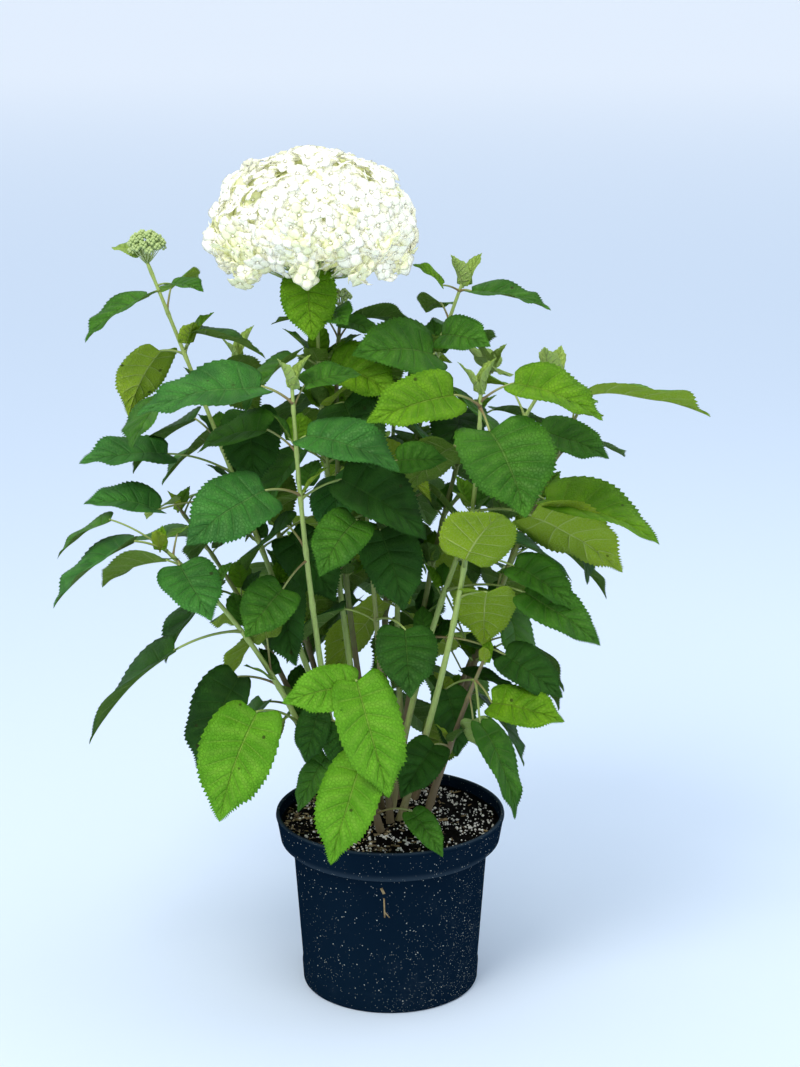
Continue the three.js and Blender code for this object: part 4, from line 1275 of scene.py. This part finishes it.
# %% [markdown]
# ## Young leaves and side shoots
# A growing tip ends in pairs of small upright leaves, pressed face to face over the bud. Lower down, a
# short shoot with a few small leaves sits above many of the leaf stalks, and fills the inside of the
# crown. They grow by the same rule as the large leaves, carried one step finer.


# %% Young leaves at the tips
TIP_PAIRS = [(62, 45), (78, 21), (86, 12)]  # rise and length of the leaves of each pair, going up


def small_blade(node, angle, rise, length, inward, stalk, tint, key, width, fold, curl):
    """A small leaf that rises from its node, with its face turned inward by a share."""
    facing = UP * (1 - inward) - heading(angle) * inward
    leaf = make_leaf(node, angle, rise, stalk, angle, -rise, length, width, facing)
    leaf.curl = curl
    return SimpleNamespace(leaf=leaf, tint=tint, key=key, fold=fold)


tip_leaves = []
for owner, (name, path) in enumerate(paths.items()):
    if name in HEADED:
        continue
    tip = path.at(1.0)
    low = name.startswith("low") or name == "centre"
    for pair, (rise, length) in enumerate(TIP_PAIRS):
        for side in (0, 1):
            key = 3000 + owner * 10 + pair * 2 + side
            angle = CANES[name][4] + 90 * pair + 180 * side + 30 * (dice(key, 1) - 0.5)
            length_now = length * (0.8 + 0.35 * dice(key, 2)) * (0.7 if low else 1)
            tip_leaves.append(small_blade(
                tip + UP * (pair * 3 - 8), angle, rise + 14 * (dice(key, 3) - 0.5), length_now, 0.85,
                2, "fresh" if low else "young", key, 0.56, 0.5, 14))
print("young leaves:", len(tip_leaves))

# %% Side shoots
SHOOTLESS_FRONT = 80
SHOOTLESS_SHARE = 0.3
SHOOTLESS_TOP = 60  # no shoots this near the tip of the cane

shoot_leaves = []
for owner, name in enumerate(CANES):
    turn, open_front = CANES[name][4], CANES[name][6]
    tip_height = CANES[name][2][2]
    for node_index, height in enumerate(nodes_of[name]):
        node = paths[name].at(paths[name].share_at_height(height))
        for side in (0, 1):
            key = 5000 + owner * 100 + node_index * 4 + side * 2
            angle = turn + 90 * node_index + 180 * side + 40 * (dice(key, 0) - 0.5)
            bare = open_front and apart(angle, -90) < SHOOTLESS_FRONT
            if bare or dice(key, 1) < SHOOTLESS_SHARE or tip_height - height < SHOOTLESS_TOP:
                continue
            for leaf_side in (-1, 1):
                own = key + (leaf_side > 0)
                shoot_leaves.append(small_blade(
                    node + UP * 4, angle + leaf_side * (22 + 30 * dice(own, 2)), 30 + 30 * dice(own, 3),
                    24 + 26 * dice(own, 4), 0.3, 7 + 9 * dice(own, 5),
                    ("deep_shaded", "mid", "fresh")[int(dice(own, 6) * 3)], own, 0.64, 0.25, 26))
print("leaves on side shoots:", len(shoot_leaves))

# %% Build the small leaves
small_leaves = tip_leaves + shoot_leaves
for tint in ("young", "fresh", "mid", "deep_shaded"):
    dealt = [small for small in small_leaves if small.tint == tint]
    placed = [place_blade(small_leaf, small.leaf, small.key, small.fold) for small in dealt]
    keep(join_copies(f"small_leaves_{tint}", small_leaf, placed, leaf_finishes[tint]))
small_stalk_pattern = straight_stem(5, 3)
placed = [lay_stem(small_stalk_pattern, small.leaf.stalk, 0.0, 1.05, lambda share, angle: 1.3 - 0.5 * share)
          for small in small_leaves]
green_stalk = stalk_finishes["leaf_stalks_green"]
keep(join_copies("small_stalks", small_stalk_pattern, placed, [green_stalk]))

# %% [markdown]
# ## Bloom
# The mophead is a dome of hundreds of four-petalled florets, hanging lower in a few bunches. They are white,
# and more often cream the lower they sit on the dome, a painted shade; the inner layer is greenish. What
# looks like a petal is a sepal, broad and a little cupped. One sepal is modelled, four make a floret, and the
# florets are set all over the dome by the sunflower's rule, in an outer and an inner layer over a heart of
# stalklets.

# %% Floret pattern
SEPAL_CELLS = 3
clear_selection()
bpy.ops.mesh.primitive_grid_add(x_subdivisions=SEPAL_CELLS, y_subdivisions=SEPAL_CELLS, size=1)
floret = bpy.context.object
floret.name = "floret"
edit_all()
bpy.ops.mesh.duplicate()
bpy.ops.mesh.flip_normals()
edit_done()
half_count = len(floret.data.vertices) // 2
for number, point in enumerate(floret.data.vertices):
    out, side = point.co.x + 0.5, point.co.y * 2
    inner = abs(point.co.x) < 0.49 and abs(point.co.y) < 0.49
    width = 0.08 + 0.45 * math.sin(math.pi * min(1, out * 0.84)) ** 0.9
    cup = 0.08 * side * side * out + 0.2 * out - 0.23 * out ** 3 + 0.05 * math.sin(4 * side + 5 * out)
    skin = (0.016 if number < half_count else -0.016) * inner
    point.co = (0.04 + 0.96 * out * (1 - 0.22 * side * side), side * width, cup + skin)
edit_all()
bpy.ops.mesh.remove_doubles(threshold=0.0005)
for _ in range(3):
    bpy.ops.mesh.duplicate()
    bpy.ops.transform.rotate(value=math.pi / 2, orient_axis="Z", center_override=(0, 0, 0))
bpy.ops.mesh.select_all(action="DESELECT")
bpy.ops.mesh.primitive_ico_sphere_add(subdivisions=1, radius=0.11, location=(0, 0, 0.03))
edit_done()
floret_pattern = read_pattern(floret)
starts = np.cumsum(floret_pattern.sizes) - floret_pattern.sizes
out_from_middle = np.hypot(floret_pattern.points[:, 0], floret_pattern.points[:, 1])[floret_pattern.corners]
floret_pattern.kinds = (np.maximum.reduceat(out_from_middle, starts) < 0.112).astype(int)
print("faces of a floret:", len(floret_pattern.sizes))


# %% Bloom finishes
def sepal_finish(name, colour, shade, through):
    """Petals pass light on to each other. A little light of their own stands for that."""
    finish, place = start_finish(name)
    petal = grain(place, 0.012).step(0.3, 0.65).mix(paint(shade), paint(colour))
    lit(finish, through, 0.2)
    return finish_surface(finish, place, petal, 0.62, grain(place, 0.0018), 0.0002, gloss=0.3,
                          glow=(0.3, paint(through)))


floret_eye, place = start_finish("floret_eye")
lit(floret_eye, "#f6f5dc", 0.25)
finish_surface(floret_eye, place, grain(place, 0.004).mix(paint("#f2f2d6"), paint("#fbfaec")), 0.6)
sepal_finishes = {
    "bloom_white": sepal_finish("sepal_white", "#fefef9", "#f6f8ec", "#fffff0"),
    "bloom_cream": sepal_finish("sepal_cream", "#f8f8e6", "#ecf0d2", "#f8fbd8"),
    "bloom_inner": sepal_finish("sepal_green", "#eef0cc", "#dbe2ae", "#f0f5bc"),
}
print("bloom finishes:", len(sepal_finishes))


# %% Bloom surface
SQUARENESS = 3.2
FLORET_REACH = 15
BUNCH_TUMBLE = 2.4


def spread(count, lowest):
    """Directions spread evenly over a ball, from its top down to a lowest height."""
    number = np.arange(count)
    z = blend(1, lowest, (number + 0.5) / count)
    turn = np.pi * (3 - math.sqrt(5)) * number
    level = np.sqrt(1 - z * z)
    return np.stack([level * np.cos(turn), level * np.sin(turn), z], 1)


def bloom_surface(directions, inset):
    """Places on the dome under the given directions. Below its widest level it falls nearly straight."""
    swell = np.zeros(len(directions))
    for lobe, size in BLOOM_LOBES:
        swell += size * np.exp(-6 * (1 - directions @ unit(np.array(lobe))))
    level, drop = np.hypot(directions[:, 0], directions[:, 1]), np.clip(-directions[:, 2], 0, 1)
    square = np.where(drop > 0, (level ** SQUARENESS + drop ** SQUARENESS) ** (-1 / SQUARENESS), 1)
    tall = np.where(drop > 0, BLOOM_DROOP, BLOOM_RISE) - inset
    around = directions * square[:, None]
    around[:, :2] *= BLOOM_RADIUS - inset
    around[:, 2] *= tall
    return around + directions * swell[:, None] + BLOOM_CENTRE


def place_floret(middle, outward, size, key, tumble=1.2):
    """One floret that faces outward by and large, turned, tipped and sized by the dice."""
    chance = [dice(key, n) for n in range(6)]
    normal = unit(outward + (np.array(chance[:3]) - 0.5) * tumble)
    side = unit(np.cross(normal, (0.31, 0.17, 0.93)))
    other = np.cross(normal, side)
    points = turned(floret_pattern.points, chance[3] * math.pi) * size * (0.8 + 0.4 * chance[4])
    points[:, 2] *= 0.4 + 1.3 * chance[5]
    return (middle + points[:, :1] * side + points[:, 1:2] * other + points[:, 2:] * normal) * MM


def florets_on_dome(directions, inset_low, inset_high, key):
    placed, whites = [], []
    for number, direction in enumerate(directions):
        own = key * 1000 + number
        inset = inset_low + (inset_high - inset_low) * dice(own, 21)
        middle = bloom_surface(direction[None], inset)[0]
        tall = BLOOM_RISE if direction[2] > 0 else BLOOM_DROOP * 1.8
        outward = unit(direction / np.array([BLOOM_RADIUS, BLOOM_RADIUS, tall]))
        placed.append(place_floret(middle, outward, FLORET_REACH, own))
        # Painted shade: florets low on the dome are more often cream.
        whites.append(dice(own, 22) < 0.8 + 0.3 * direction[2])
    return placed, whites


HANGING_BUNCHES = [
    # middle, radius and number of florets of each bunch that hangs below the dome
    ((-162, -55, 884), 17, 9), ((-94, -90, 889), 12, 4), ((-34, -80, 888), 13, 4), ((12, -34, 895), 13, 5),
    ((-182, -36, 899), 12, 4), ((-7, -62, 891), 11, 4), ((-130, 85, 886), 15, 8), ((-40, 95, 884), 14, 7),
    ((10, 60, 892), 13, 6), ((-183, 50, 892), 13, 6),
]
outer, whites = florets_on_dome(spread(430, -0.9), 4, 12, 71)
inner, _ = florets_on_dome(spread(200, -0.92), 13, 19, 72)
for bunch, (middle, radius, count) in enumerate(HANGING_BUNCHES):
    for number, direction in enumerate(spread(count, -0.95)):
        own = 90000 + bunch * 100 + number
        floret_middle = np.array(middle) + direction * (radius * (0.25 + 0.75 * dice(own, 23)))
        outer.append(place_floret(floret_middle, direction, FLORET_REACH * 0.9, own, BUNCH_TUMBLE))
        whites.append(dice(own, 22) < 0.6)
print("florets:", len(outer) + len(inner))

# %% Build the bloom
for piece_name, chosen in {
    "bloom_white": [points for points, white in zip(outer, whites) if white],
    "bloom_cream": [points for points, white in zip(outer, whites) if not white],
    "bloom_inner": inner,
}.items():
    piece = join_copies(piece_name, floret_pattern, chosen, [sepal_finishes[piece_name], floret_eye])
    keep(piece, ["bloom_head"])

clear_selection()
bpy.ops.mesh.primitive_ico_sphere_add(subdivisions=4, radius=1)
heart = bpy.context.object
heart.name = "bloom_heart"
places = np.array([point.co for point in heart.data.vertices])
inset = np.array([21 + 7 * noise.noise(Vector(place) * 5) for place in places])
for point, middle in zip(heart.data.vertices, [bloom_surface(p[None], i)[0] for p, i in zip(places, inset)]):
    point.co = middle * MM
bpy.ops.object.shade_smooth()
heart_finish, place = start_finish("bloom_heart_green")
finish_surface(heart_finish, place, grain(place, 0.004, 4).mix(paint("#c3c990"), paint("#eef0d2")), 0.8,
               grain(place, 0.003), 0.002, gloss=0.2)
heart.data.materials.append(heart_finish)
keep(heart)


# %% Stalklets under the bloom and the bud heads
def fan_of_stalklets(start, ends, sag, radius):
    """Thin stems that part from one point, each hanging a little on its way to its own end."""
    placed = []
    for end in ends:
        halfway = blend(start, end, 0.5) - UP * sag * np.linalg.norm(end - start)
        placed.append(lay_stem(small_stalk_pattern, Bow(start, halfway, end), 0, 1,
                               lambda share, angle: radius * (1.6 - share)))
    return placed


bloom_ends = [bloom_surface(direction[None], 12)[0] for direction in spread(70, -0.3)]
stalklets = fan_of_stalklets(np.array([-86.0, 10.0, 868.0]), bloom_ends, 0.12, 0.9)

# %% [markdown]
# ## Bud heads
# Two canes end in heads that have not opened: a low dome of tiny round green buds, in small bunches, on
# pale stalklets. A ball with a bumpy finish would do from afar. Near by the dome is open between its
# bunches, so each bud is a small ball of its own.

# %% Bud heads
clear_selection()
bpy.ops.mesh.primitive_ico_sphere_add(subdivisions=1, radius=1)
edit_all()
bpy.ops.mesh.subdivide(number_cuts=1, smoothness=1)
edit_done()
bud_pattern = read_pattern(bpy.context.object)

BUD_HEADS = {
    "buds_left": {"cane": "left_bud", "radius": 19, "height": 15, "bunches": 26, "bud": 1.9},
    "buds_small": {"cane": "small_bud", "radius": 11, "height": 8, "bunches": 13, "bud": 1.45},
}
bud_finish, place = start_finish("green_buds")
tip_light = grain(place, 0.004, 3).mix(paint("#86a04f"), paint("#c6d69a"))
finish_surface(bud_finish, place, tip_light, 0.6, grain(place, 0.0012), 0.0003, gloss=0.4)
stalklet_finish = stalk_finish("stalklet_pale", "#a9bb74", "#c2ce96")

for number, (piece_name, head) in enumerate(BUD_HEADS.items()):
    tip = paths[head["cane"]].at(1.0)
    middle = tip + UP * head["radius"]
    size = np.array([head["radius"], head["radius"], head["height"]], float)
    buds = []
    for bunch, direction in enumerate(spread(head["bunches"], -0.35)):
        chance = [dice(number, bunch, n) for n in range(3)]
        bunch_middle = middle + direction * size * (0.8 + 0.12 * chance[0])
        stalklets += fan_of_stalklets(tip - UP * 2, [bunch_middle], 0.048, 0.55)
        for bud, aside in enumerate(spread(11, -0.6)):
            own = dice(number, bunch, bud, 9)
            offset = aside * head["bud"] * 1.9 + direction * head["bud"] * 0.9
            buds.append((bunch_middle + offset + bud_pattern.points * head["bud"] * (0.7 + 0.5 * own)) * MM)
    solid = piece_name.replace("buds", "bud_head")
    keep(join_copies(piece_name, bud_pattern, buds, [bud_finish]), [solid])
keep(join_copies("stalklets", small_stalk_pattern, stalklets, [stalklet_finish]))
